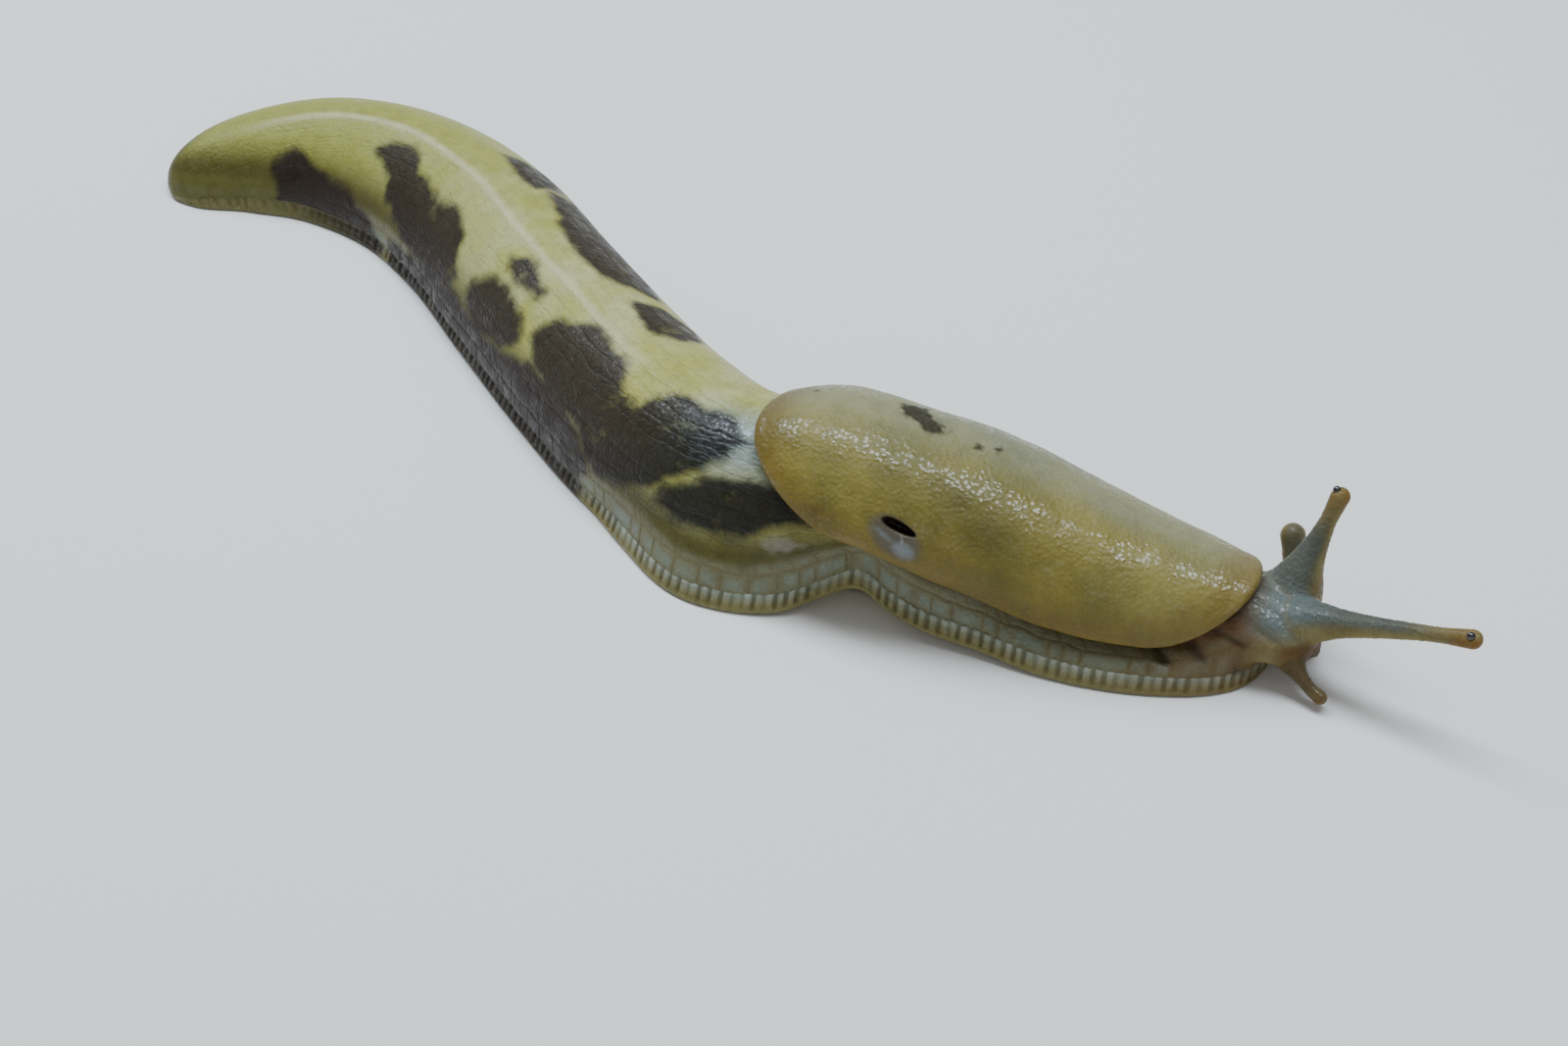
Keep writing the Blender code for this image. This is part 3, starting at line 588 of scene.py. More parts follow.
def fused(name, shapes, mesh_size):
    """One even mesh round closed shapes that overlap, with each point set on the shape that is nearest to it
    and given that shape's fields there."""
    points = np.concatenate([shape[0] for shape in shapes])
    fields = np.concatenate([shape[2] for shape in shapes])
    starts = np.cumsum([0] + [len(shape[0]) for shape in shapes])
    triangles = np.concatenate([shape[1] + start for shape, start in zip(shapes, starts)])
    source = bpy.data.meshes.new("source")
    source.from_pydata(points.tolist(), [], triangles.tolist())
    holder = put("source", source)
    even = holder.modifiers.new("even", "REMESH")
    even.mode = "VOXEL"
    even.voxel_size = mesh_size / MM * 1.0
    graph = bpy.context.evaluated_depsgraph_get()
    mesh = bpy.data.meshes.new_from_object(holder.evaluated_get(graph))
    mesh.name = name
    bpy.data.objects.remove(holder)
    bpy.data.meshes.remove(source)

    found = np.zeros(len(mesh.vertices) * 3)
    mesh.vertices.foreach_get("co", found)
    found = found.reshape(-1, 3)
    tree = BVHTree.FromPolygons(points.tolist(), triangles.tolist())
    hits = [tree.find_nearest(Vector(p)) for p in found.tolist()]
    on = np.array([hit[0] for hit in hits])
    a, b, c = (points[triangles[[hit[2] for hit in hits], k]] for k in range(3))
    corners = triangles[[hit[2] for hit in hits]]
    normal = np.cross(b - a, c - a)
    area = np.maximum(np.sum(normal * normal, -1), 1e-12)
    share_b = np.sum(np.cross(on - a, c - a) * normal, -1) / area
    share_c = np.sum(np.cross(b - a, on - a) * normal, -1) / area
    shares = np.clip(np.stack([1 - share_b - share_c, share_b, share_c], -1), 0, 1)
    values = np.einsum("nk,nkf->nf", shares, fields[corners])
    return mesh, on, {key: values[:, k] for k, key in enumerate(FIELDS)}


def edges_of(mesh):
    """The mesh's edges as pairs of point numbers."""
    edges = np.zeros(len(mesh.edges) * 2, np.int32)
    mesh.edges.foreach_get("vertices", edges)
    return edges.reshape(-1, 2)


def rounds_of(count):
    return int(count / (1))


def relaxed(values, edges, weight, rounds):
    """Values drawn towards the mean of their neighbours, each by its weight, some number of times."""
    flat = values.reshape(len(values), -1).copy()
    used = edges[(weight[edges] > 0).any(1)]
    a, b = used[:, 0], used[:, 1]
    count = np.bincount(a, minlength=len(flat)) + np.bincount(b, minlength=len(flat))
    moving = np.flatnonzero((weight > 0) & (count > 0))
    pull = 0.6 * weight[moving, None]
    for _ in range(rounds):
        total = np.stack([
            np.bincount(a, flat[b, k], len(flat)) + np.bincount(b, flat[a, k], len(flat))
            for k in range(flat.shape[1])], -1)
        flat[moving] += pull * (total[moving] / count[moving, None] - flat[moving])
    return flat.reshape(values.shape)


def set_points(mesh, points):
    """Moves the mesh's points, and gives their new normals."""
    mesh.vertices.foreach_set("co", points.astype(np.float32).ravel())
    mesh.update()
    normals = np.zeros(len(mesh.vertices) * 3)
    mesh.vertex_normals.foreach_get("vector", normals)
    return normals.reshape(-1, 3)


def texture_values(points, texture):
    """The values at points of a texture that the materials use too, so that shape and colour agree."""
    probe = bpy.data.meshes.new("probe")
    probe.vertices.add(len(points))
    probe.vertices.foreach_set("co", points.astype(np.float32).ravel())
    holder = put("probe", probe)
    tree = bpy.data.node_groups.new("probe", "GeometryNodeTree")
    tree.interface.new_socket("Geometry", in_out="INPUT", socket_type="NodeSocketGeometry")
    tree.interface.new_socket("Geometry", in_out="OUTPUT", socket_type="NodeSocketGeometry")
    s = Sketch(tree)
    where = s.node("GeometryNodeInputPosition").outputs["Position"]
    store = s.node(
        "GeometryNodeStoreNamedAttribute",
        {"Geometry": s.node("NodeGroupInput").outputs[0], "Name": "value", "Value": texture(s, where)},
        data_type="FLOAT", domain="POINT")
    s.node("NodeGroupOutput", {0: store.outputs["Geometry"]})
    change = holder.modifiers.new("probe", "NODES")
    change.node_group = tree
    graph = bpy.context.evaluated_depsgraph_get()
    found = np.zeros(len(points), np.float32)
    holder.evaluated_get(graph).data.attributes["value"].data.foreach_get("value", found)
    bpy.data.objects.remove(holder)
    bpy.data.meshes.remove(probe)
    bpy.data.node_groups.remove(tree)
    return found.astype(float)


def grain_texture(s, where):
    """Distance to the nearest edge between round grains."""
    return s.cells(where, 1.0)


def tile_texture(s, where, line=0.16, end=0.06, end_share=0.65):
    """Furrows between long tiles that lie in rows: 1 in a furrow and 0 on a tile."""
    parts = s.node("ShaderNodeSeparateXYZ", {0: where}).outputs
    row = s.math("ROUND", parts[1])
    inside = s.less(parts[1], row)
    chance = s.node("ShaderNodeTexWhiteNoise", {"W": row}, noise_dimensions="1D").outputs["Value"]
    moved = s.plus(parts[0], s.times(chance, 9.0))
    moved = s.plus(moved, s.times(inside, s.less(chance, 0.5)))
    swing = s.node("ShaderNodeTexNoise", {
        "W": s.plus(s.times(moved, 0.7), s.times(row, 7.3)), "Scale": 1.0,
        "Detail": 1.0}, noise_dimensions="1D").outputs["Fac"]
    moved = s.plus(moved, s.times(swing, 2.2))
    beside = s.less(0.5, s.math("ABSOLUTE", inside))
    along = s.math("PINGPONG", moved, 0.5)
    ends = s.times(s.ease(along, end, 0.0), end_share)
    return s.most(s.ease(beside, line, 0.0), ends)


def hide_texture(s, where, line, net):
    """The back's hide: long furrows, and a fainter net of tubercles between them; 1 in a furrow."""
    long_lines = tile_texture(s, where, line, 0.05, 0.3)
    fine = s.ease(s.cells(where, 1.7, "2D"), net, 0.0)
    return s.most(long_lines, s.times(fine, 0.45))


def depth_inside(x, y, outline):
    """How far points lie inside an outline (above 0) or outside it (below 0)."""
    corners = np.array(outline, float)
    nearest = np.full(x.shape, 1e9)
    inside = np.zeros(x.shape, bool)
    for (ax, ay), (bx, by) in zip(corners, np.roll(corners, -1, axis=0)):
        ex, ey = bx - ax, by - ay
        t = np.clip(((x - ax) * ex + (y - ay) * ey) / (ex * ex + ey * ey), 0, 1)
        nearest = np.minimum(nearest, np.hypot(x - ax - t * ex, y - ay - t * ey))
        if ay != by:
            inside ^= ((ay > y) != (by > y)) & (x < ex * (y - ay) / ey + ax)
    return np.where(inside, nearest, -nearest)


def to_whole(value):
    """Distance to the nearest whole number."""
    return np.abs(value - np.round(value))


def bump_at(value, middle, half):
    """1 at a middle value, falling smoothly to 0 at half a width from it."""
    return 1 - eased(np.abs(value - middle), 0.0, half)


def store_fields(mesh, **fields):
    """Keeps values or vectors on the mesh's points, for its material to read."""
    for name, values in fields.items():
        if values.ndim == 1:
            kept = mesh.attributes.new(name, "FLOAT", "POINT")
            kept.data.foreach_set("value", values.astype(np.float32))
        else:
            kept = mesh.attributes.new(name, "FLOAT_VECTOR", "POINT")
            kept.data.foreach_set("vector", values.astype(np.float32).ravel())


def skin_fields(points, f, settings):
    """The patterns and markings of the skin, from each point's place on it, and the masks of its painted shade,
    sheen and keel highlight.
    """
    along, across = f["along"], f["across"]
    quarter = quarter_girth(along)
    arc = across * quarter
    surface = np.stack([along, arc, np.zeros_like(arc)], -1)
    sway = drift(surface, 9.0, 3)
    rows = np.sqrt(quarter / 19.5) * 10.5
    no_depth = np.zeros_like(arc)
    long_tiles = np.stack([
        along / 3.4, across * rows + 0.35 * sway + 0.2 * drift(surface * (0.7, 1.0, 1.0), 1.5, 5)
        + 0.07 * drift(surface, 0.7, 6), no_depth], -1)
    up = f["up"]
    run = edge_run(along, across)
    belt_tiles = np.stack([
        run / 3.1, up / 2.3 + 0.5 + 0.1 * drift(surface, 2.2, 8) + 40.0 * np.sign(across), no_depth], -1)
    fringe_run = run / (settings.fringe_pitch / MM) + 0.25 * drift(surface, 2.6, 11)
    block = np.stack([np.round(fringe_run), across > 0, no_depth], -1).astype(np.int64)
    groove = np.where(scatter(block, 12) > 0.36, 0.9, 0.5)
    block[..., 0] = np.floor(fringe_run)
    tone = scatter(block, 14)

    limb = np.clip(f["stalk"] + f["low"], 0, 1)
    front = eased(along + 2.5 * drift(surface, 7.0, 13), 146.0, 168.0)
    head = eased(along, 167.5, 173.0) * (1 - 0.75 * f["foot"])
    belt = eased(up + 0.5 * sway, 4.4, 2.9) * (1 - limb) * (1 - head) * (1 - 0.6 * front)
    belt *= 0.15 + 0.85 * eased(along, 14.0, 44.0)
    crown = eased(points[:, 2], 5.6, 8.6)
    fold_run = (0.34 * along - 0.94 * np.abs(arc)) / 2.8 + 0.3 * drift(surface, 4.5, 29)
    on_neck = eased(np.abs(along - 166.5), 9.5, 4.5) * eased(up, 0.8, 2.6) * (1 - limb) * (1 - f["foot"])
    on_neck *= 0.8 + 0.2 * drift(surface, 6.0, 31)
    # The creases are deepened in the shape and darkened in colour as painted shade.
    crease_and_shade = eased(to_whole(fold_run), 0.24, 0.0) * on_neck
    fold = eased(to_whole(fold_run), 0.5, 0.0) * on_neck

    depth = np.full(along.shape, -9.0)
    wander = 0.5 * drift(surface, 4.0, 17) + 0.4 * drift(surface, 1.7, 19)
    # On the lower right flank the dark marks are partly painted shade.
    for outline in BLOTCHES:
        corners = [(s, c * float(quarter_girth(np.array(s)))) for s, c in outline]
        depth = np.maximum(depth, depth_inside(along, arc, corners))
    dark = np.clip(depth + wander + 0.2, -3.0, 3.0)
    dark = np.where(limb > 0.5, -3.0, dark)
    # Painted shadow: the skin just below the mantle's edge is darkened where the mantle shades it.
    edge_angle = size_at(MANTLE_REACH_DEG, along) / 90 * mantle_round(along)
    under = (np.abs(across) - edge_angle) * quarter
    under = eased(under, 2.4, 0.2) * (edge_angle > 0) * (1 - limb)
    wet = 0.1 + 0.55 * eased(along, 96.0, 113.0) * eased(np.abs(across + 0.1), 0.55, 0.3)
    wet = np.maximum(wet, np.maximum(0.35 * belt, 0.4 * f["foot"]))
    wet += head * (0.2 + 0.8 * crown - wet)
    low_tip = f["low"] * eased(f["reach"], 0.7, 1.0)
    wet += limb * (0.12 + 0.55 * eased(f["reach"], 0.4, 0.1) * f["stalk"] + 0.6 * low_tip - wet)
    # Painted reflection: a blue-grey sky sheen on the skin just behind the mantle.
    painted_sheen = eased(along, 105.0, 114.0) * eased(np.abs(across + 0.24), 0.34, 0.06) * (1 - limb)
    painted_sheen *= eased(along, 130.0, 120.0)
    scar = np.hypot((along - SCAR[0]) / 1.9, (across - SCAR[1]) * quarter) + 0.5 * drift(surface, 0.8, 53)

    # Pale keel line, set a little right of the middle; it is partly a painted highlight along the crest.
    keel = bump_at(arc + 0.3 * sway, -2.2, 1.1) * eased(along, 104.0, 84.0) * eased(along, 6.0, 24.0)
    tip = f["stalk"] * eased(f["reach"], 0.86, 0.97) + 0.7 * f["low"] * eased(f["reach"], 0.8, 1.02)

    return {
        **f, "long_tiles": long_tiles, "belt_tiles": belt_tiles, "fringe_run": fringe_run, "belt": belt,
        "front": front, "head": head, "limb": limb, "dark": dark, "under": under, "scar": eased(scar, 1.2, 0.3),
        "groove": groove, "tone": tone, "crown": crown, "fold": fold, "crease_and_shade": crease_and_shade, "wet": wet,
        "painted_sheen": painted_sheen, "keel": keel, "tip": tip,
    }


def skin_depth(points, g, settings):
    """How far each point of the skin is set inwards: furrows, folds, granules and the fringe's blocks."""
    on_body = (1 - g["foot"]) * (1 - g["limb"])
    long_furrow = texture_values(g["long_tiles"], lambda s, where: hide_texture(s, where, 0.16, 0.2))
    belt_furrow = texture_values(g["belt_tiles"], lambda s, where: tile_texture(s, where, 0.14, 0.1, 1.0))
    grain_edge = texture_values(points / SKIN_GRAIN, grain_texture)
    furrow = settings.furrow_depth / MM
    calm = (1 - 0.55 * g["front"]) * (0.3 + 0.7 * eased(g["along"], 50.0, 100.0))
    body = furrow * long_furrow * (1 - g["belt"]) * calm
    belt = 1.6 * furrow * belt_furrow * g["belt"]
    depth = (body + belt) * (1 - g["head"]) * on_body
    depth += belt * g["foot"] * eased(g["level"], 1.0, 1.15)

    soft = 0.5 + 0.5 * drift(points, 7.0, 23)
    depth += 0.16 * soft * on_body * (1 - g["head"])

    depth += (0.55 * g["fold"] + 0.25 * g["crease_and_shade"]) * (1 - 0.75 * g["crown"])
    depth -= 0.16 * g["keel"]

    granular = np.clip(g["head"] + 0.7 * g["limb"], 0, 1) * eased(g["reach"], 0.95, 0.75)
    depth += (0.045 + 0.03 * g["head"]) * eased(grain_edge, 0.25, 0.0) * granular
    depth += 0.05 * eased(grain_edge, 0.25, 0.0) * g["front"] * (1 - g["head"]) * on_body

    rings = to_whole(g["reach"] * np.where(g["stalk"] > 0.5, 22.0, 9.0) + 0.35 * drift(points, 1.6, 37))
    depth += 0.02 * eased(rings, 0.4, 0.0) * g["limb"] * bump_at(g["reach"], 0.45, 0.4)

    fringe = g["foot"] * eased(g["level"], 0.34, 0.46) * eased(g["level"], 1.08, 0.9)
    blocks = eased(to_whole(g["fringe_run"]), 0.36, 0.0)
    end = eased(g["along"], 0.5, 5.0) * eased(g["along"], 172.0, 168.5)
    depth += settings.fringe_depth / MM * blocks * g["groove"] * fringe * end
    depth += 0.08 * bump_at(g["level"], 0.36, 0.1) * g["foot"] * (1 - g["belly"])
    depth += 0.08 * bump_at(g["level"], 1.04, 0.14) * g["foot"]
    return depth * (1 - 0.9 * g["belly"] * g["foot"])


def make_skin(settings):
    """One skin for the body, the foot, the head and the feelers."""
    shapes = [body_shape(), foot_shape(), skirt_shape(-1), skirt_shape(1), lobe_shape(-1), lobe_shape(1)]
    shapes += [feeler_shape(*FEELERS[name], name.startswith("upper")) for name in FEELERS]
    mesh, points, f = fused("whole_skin", shapes, settings.mesh_size)
    edges = edges_of(mesh)

    head_middle = place(174.0, 0.0, 6.0)
    from_head = np.linalg.norm(points - head_middle, axis=1)
    blend = eased(from_head, 8.5, 5.2)
    mouth_tip = place(MOUTH_STATION, 0.0, MOUTH_HEIGHT)
    near_mouth = eased(np.linalg.norm(points - mouth_tip, axis=1), 2.6, 1.2)
    tail = eased(f["along"], 3.5, 1.2)
    rounds = rounds_of(50)
    points = relaxed(points, edges, np.clip(blend * (1 - 0.8 * near_mouth) + tail, 0, 1), rounds)
    points = relaxed(points, edges, np.full(len(points), 0.5), 2)
    table = np.stack([f[name] for name in FIELDS], -1)
    table = relaxed(table, edges, np.maximum(blend, tail), rounds // 3)
    f = {name: table[:, k] for k, name in enumerate(FIELDS)}

    normals = set_points(mesh, points)
    g = skin_fields(points, f, settings)
    depth = skin_depth(points, g, settings)

    ahead, left = mouth_ways()
    from_tip = points - place(MOUTH_STATION + 1.2, 0.0, MOUTH_HEIGHT)
    slit = 1 - (from_tip @ ahead / 1.8) ** 2 - (from_tip @ left / 0.3) ** 2 - (from_tip[:, 2] / 1.3) ** 2
    depth += 0.55 * np.sqrt(np.clip(slit, 0, 1))

    for side in ("right", "left"):
        low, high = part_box("eye_" + side)
        centre = np.array((low + high) / 2) / MM
        away = np.linalg.norm(points - centre, axis=1)
        depth += 0.14 * bump_at(away, 0.5, 0.28)

    points = points - normals * depth[:, None]
    points[:, 2] = np.maximum(points[:, 2], 0.0)
    set_points(mesh, points * MM)
    store_fields(mesh, **{name: values for name, values in g.items() if name not in ("across", "fold")})
    finished("whole_skin", mesh, skin_material(settings), SKIN_NODES)


def finished(name, mesh, material, nodes):
    """A piece in the scene that rides on the body and stands for some of its solids."""
    mesh.materials.clear()
    mesh.materials.append(material)
    mesh.shade_smooth()
    made = put(name, mesh)
    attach(made, "root")
    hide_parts(*nodes)


def mantle_ends(station):
    """How far stations lie into the mantle's rounded ends: 0 between them and 1 at its tips."""
    rear = np.clip((MANTLE_REAR + MANTLE_REAR_ROUND - station) / MANTLE_REAR_ROUND, 0, 1)
    front = np.clip((station - MANTLE_FRONT + MANTLE_FRONT_ROUND) / MANTLE_FRONT_ROUND, 0, 1)
    return rear + front


def mantle_round(station):
    """The share of its full reach that the mantle has at stations."""
    return np.sqrt(np.maximum(1 - mantle_ends(station) ** 2, 0.0))


def mantle_parts(station, across):
    """The mantle's angle from the top, how far it is from its middle (0) to its edge (1), and its thickness."""
    inward = mantle_ends(station)
    round_share = mantle_round(station)
    spread = np.radians(size_at(MANTLE_REACH_DEG, station)) * round_share
    out = np.hypot(across * round_share, inward)
    share = np.clip((1 - out) * size_at(BODY_HALF_WIDTH, station) / MANTLE_EDGE_RISE, 0, 1)
    thick = MANTLE_EDGE_THICKNESS + (size_at(MANTLE_THICKNESS, station) - MANTLE_EDGE_THICKNESS) * np.sqrt(
        1 - (1 - share) ** 2)
    return spread * across, out, thick


def mantle_shape():
    """The mantle as a closed saddle whose inside lies in the back's skin, but for its free front edge."""
    middle, half = (MANTLE_REAR + MANTLE_FRONT) / 2, (MANTLE_FRONT - MANTLE_REAR) / 2 - 0.04
    station = (middle - half * np.cos(np.linspace(0.0, math.pi, 240)))[:, None]
    across = np.sin(np.linspace(-math.pi / 2, math.pi / 2, 140))[None, :]
    turned, out, thick = mantle_parts(station, across)
    angle = math.pi / 2 + turned
    free = eased(station, 160.0, 168.5)
    outer = back_point(station, angle, GAP + thick)
    inner = back_point(station, angle, -0.35 + (GAP + 0.35) * free)
    to_edge = (1 - out) * size_at(BODY_HALF_WIDTH, station)
    fields = fields_of(outer.shape[:2], along=station, across=2 * angle / math.pi - 1, up=to_edge, level=1.0)
    inside = fields_of(outer.shape[:2], along=station, across=2 * angle / math.pi - 1, up=to_edge, level=0.0)
    return closed_loft(np.concatenate([outer, inner[:, ::-1]], 1), np.concatenate([fields, inside[:, ::-1]], 1))


def hole_place(points):
    """Each point's place round the breathing hole: along its slit, up across it, and out of it."""
    angle = np.radians(HOLE_DEG)
    grow = GAP + float(size_at(MANTLE_THICKNESS, np.array(HOLE_STATION)))
    station = np.array(HOLE_STATION)
    centre = back_point(station, angle, grow)
    forward = back_point(station + 1, angle, grow) - back_point(station - 1, angle, grow)
    forward /= np.linalg.norm(forward)
    over = back_point(station, angle + 0.05, grow) - back_point(station, angle - 0.05, grow)
    over /= np.linalg.norm(over)
    out = np.cross(forward, over)
    out *= np.sign(out[2]) / np.linalg.norm(out)
    up = np.cross(out, forward)
    slant = math.radians(HOLE_SLANT_DEG)
    away = points - centre
    x, y = away @ forward, away @ up
    return x * math.cos(slant) + y * math.sin(slant), y * math.cos(slant) - x * math.sin(slant), away @ out


def make_mantle(settings):
    """The mantle: a grained saddle with a soft free edge and the breathing hole in its right side."""
    mesh, points, f = fused("mantle_saddle", [mantle_shape()], settings.mesh_size)
    edges = edges_of(mesh)
    outside = f["level"]
    rim = eased(f["up"], 1.1, 0.25)
    points = relaxed(points, edges, np.clip(rim + 0.15, 0, 1), rounds_of(26))
    normals = set_points(mesh, points)

    arc = f["across"] * quarter_girth(f["along"])
    surface = np.stack([f["along"], arc, np.zeros_like(arc)], -1)
    grain = settings.grain_size / MM
    grains = points / grain
    grain_edge = texture_values(grains, grain_texture)
    pebbles = texture_values(points / (2.6 * grain), grain_texture)
    depth = settings.grain_depth / MM * eased(grain_edge, 0.3, 0.0)
    depth += 0.5 * settings.grain_depth / MM * eased(pebbles, 0.35, 0.0)
    depth += 0.09 * (0.5 + 0.5 * drift(points, 2.0, 41)) + 0.16 * (0.5 + 0.5 * drift(points, 4.2, 42))
    depth += 0.14 * (0.5 + 0.5 * drift(points, 8.0, 43))

    x, y, z = hole_place(points)
    near = (np.abs(z) < 3.0) & (outside > 0.5)
    slit = np.clip(1 - np.abs(x / 2.15) ** 2.1 - (y / (0.66 - 0.06 * x)) ** 2, 0, 1) * near
    lip = np.exp(-((np.hypot(x / 1.9, y + 0.1) - 1.2) / 0.5) ** 2) * near
    bowl = np.clip(1 - ((x - 0.2) / 3.8) ** 2 - ((y + 1.3 + 0.12 * x) / 2.4) ** 2, 0, 1) * near
    # Painted highlight: a pale glare patch in the hollow, and a pale streak along its lower rim.
    shine = np.clip(1 - ((x - 1.6) / 1.7) ** 2 - ((y + 2.2) / 1.2) ** 2, 0, 1) * near
    shine = np.maximum(shine, 0.7 * bump_at(y + 0.3 * x + 1.9, 0.0, 0.6) * bump_at(x, -0.9, 2.2) * near)
    # A low raised strand across the hollow, which the material paints pale as a highlight.
    strand = eased(np.abs(x - 0.9 + 0.3 * (y + 1.2) - 0.1 * np.sin(3 * y)), 0.16, 0.04) * bump_at(
        y, -1.3, 0.9) * near
    smooth = 1 - np.clip(1.6 * bowl + 1.5 * slit, 0, 0.9)
    depth = depth * smooth + 1.35 * slit**0.6 + 0.8 * bowl**1.3 - 0.06 * lip * (1 - slit) - 0.08 * strand
    depth *= 0.25 + 0.75 * eased(f["up"], 0.1, 0.9)
    points = points - normals * (depth * outside)[:, None]
    points = relaxed(points, edges, np.clip(2 * bowl + 2 * slit, 0, 1) * 0.8, 3)
    set_points(mesh, points * MM)

    quarter = quarter_girth(np.array(SPOT_STATION))
    spot = depth_inside(f["along"] + 0.5 * drift(surface, 1.4, 47), arc + 0.6 * drift(surface, 1.2, 49),
                        [(station, share * quarter) for station, share in SPOT])
    for station, share, size in SPECKS:
        middle = share * quarter_girth(np.array(station))
        spot = np.maximum(spot, size - np.hypot(f["along"] - station, arc - middle))
    # low marks the mantle's lower side, which the material darkens partly as painted shade.
    store_fields(
        mesh, dark=np.clip(spot, -2, 2), rim=1 - eased(f["up"], 0.2, 3.4), low=eased(-f["across"], 0.35, 0.85),
        slit=slit, bowl=bowl, strand=strand, shine=shine, across=f["across"], along=f["along"],
        cloud=np.exp(-((f["along"] - 142.0) / 9.0) ** 2 - ((f["across"] + 0.42) / 0.2) ** 2))
    finished("mantle_saddle", mesh, mantle_material(settings), ["mantle"])


def make_eyes(settings):
    """The eyes: glossy beads with a faint six-fold ripple round their middle."""
    material = eye_material(settings)
    for side in ("right", "left"):
        low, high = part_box("eye_" + side)
        centre = np.array((low + high) / 2)
        turn = np.radians(np.linspace(3, 177, 40))[:, None]
        angle = np.linspace(0, 2 * math.pi, 56, endpoint=False)[None, :]
        way = np.stack([
            np.sin(turn) * np.cos(angle), np.sin(turn) * np.sin(angle), -np.cos(turn) + 0 * angle], -1)
        size = settings.radius * (1 - 0.012 * (1 + np.cos(6 * angle)) * np.sin(turn) ** 4)
        points, triangles, _ = closed_loft(centre + way * size[..., None], np.zeros((*way.shape[:2], 1)))
        mesh = bpy.data.meshes.new("eye_bead_" + side)
        mesh.from_pydata(points.tolist(), [], triangles.tolist())
        finished("eye_bead_" + side, mesh, material, ["eye_" + side])


class Sketch:
    """Adds nodes to a node tree and joins them up."""

    def __init__(self, tree):
        self.tree = tree

    def node(self, kind, inputs=(), **options):
        """A new node with options set and inputs joined or given a value."""
        made = self.tree.nodes.new(kind)
        for key, value in options.items():
            setattr(made, key, value)
        for key, value in dict(inputs).items():
            if isinstance(value, bpy.types.NodeSocket):
                self.tree.links.new(value, made.inputs[key])
            else:
                made.inputs[key].default_value = value
        return made

    def field(self, name):
        """A value kept on the mesh's points."""
        return self.node("ShaderNodeAttribute", attribute_name=name).outputs["Fac"]

    def vector(self, name):
        """A vector kept on the mesh's points."""
        return self.node("ShaderNodeAttribute", attribute_name=name).outputs["Vector"]

    def math(self, operation, a, b=0.0):
        """Two values put together."""
        return self.node("ShaderNodeMath", {0: a, 1: b}, operation=operation).outputs[0]

    def times(self, first, *others):
        """Values multiplied."""
        for other in others:
            first = self.math("MULTIPLY", first, other)
        return first

    def plus(self, a, b):
        """The sum of two values."""
        return self.math("ADD", a, b)

    def less(self, a, b):
        """One value less another."""
        return self.math("SUBTRACT", a, b)

    def most(self, a, b):
        """The greater of two values."""
        return self.math("MAXIMUM", a, b)

    def ease(self, value, low, high, at_low=0.0, at_high=1.0):
        """A smooth turn from one value to another."""
        made = self.node("ShaderNodeMapRange", {
            "Value": value, "From Min": low, "From Max": high, "To Min": at_low, "To Max": at_high,
        }, interpolation_type="SMOOTHSTEP")
        return made.outputs["Result"]

    def mix(self, share, a, b, kind="MIX"):
        """One colour laid over another."""
        made = self.node("ShaderNodeMix", {0: share, 6: a, 7: b}, data_type="RGBA", blend_type=kind)
        return made.outputs[2]

    def noise(self, where, scale, detail=2.0):
        """Soft noise between 0 and 1."""
        made = self.node("ShaderNodeTexNoise", {"Vector": where, "Scale": scale, "Detail": detail})
        return made.outputs["Fac"]

    def cells(self, where, scale, dimensions="3D", randomness=1.0, feature="DISTANCE_TO_EDGE"):
        """Distance to the nearest edge, or the nearest middle, of scattered cells."""
        made = self.node(
            "ShaderNodeTexVoronoi", {"Vector": where, "Scale": scale, "Randomness": randomness},
            voronoi_dimensions=dimensions, feature=feature)
        return made.outputs["Distance"]


def new_material(name):
    """An empty material's sketch and its shader."""
    made = bpy.data.materials.new(name)
    made.use_nodes = True
    return made, Sketch(made.node_tree), made.node_tree.nodes["Principled BSDF"]


def moist_grain():
    """A shared effect: tiny wet grains, as a mottle, a broken gloss and a height."""
    name = "moist_grain"
    if name in bpy.data.node_groups:
        return bpy.data.node_groups[name]
    tree = bpy.data.node_groups.new(name, "ShaderNodeTree")
    for label, default in (("Grain Scale", 2500.0), ("Dry", 0.4), ("Wet", 0.15)):
        socket = tree.interface.new_socket(label, in_out="INPUT", socket_type="NodeSocketFloat")
        socket.default_value = default
    for label in ("Mottle", "Roughness", "Height", "Beads"):
        tree.interface.new_socket(label, in_out="OUTPUT", socket_type="NodeSocketFloat")
    s = Sketch(tree)
    start = s.node("NodeGroupInput")
    where = s.node("ShaderNodeTexCoord").outputs["Object"]
    scale = start.outputs["Grain Scale"]
    coarse = s.noise(where, s.times(scale, 0.22), 3.0)
    fine = s.noise(where, scale, 2.0)
    edge = s.cells(where, scale)
    ripple = s.noise(where, s.times(scale, 0.5), 1.0)
    bead = s.cells(where, s.times(scale, 0.72), feature="F1")
    beads = s.ease(bead, 0.56, 0.26, 0.06, 1.0)
    height = s.plus(s.times(s.ease(edge, 0.0, 0.35), 0.06), s.times(ripple, 0.4))
    height = s.plus(height, s.ease(bead, 0.0, 0.8, 0.5, 0.0))
    wet = s.ease(coarse, 0.42, 0.62)
    gloss = s.node("ShaderNodeMapRange", {
        "Value": wet, "To Min": start.outputs["Dry"], "To Max": start.outputs["Wet"]}).outputs["Result"]
    mottle = s.ease(s.plus(s.times(coarse, 0.6), s.times(fine, 0.4)), 0.3, 0.7)
    s.node("NodeGroupOutput", {"Mottle": mottle, "Roughness": gloss, "Height": height, "Beads": beads})
    return tree


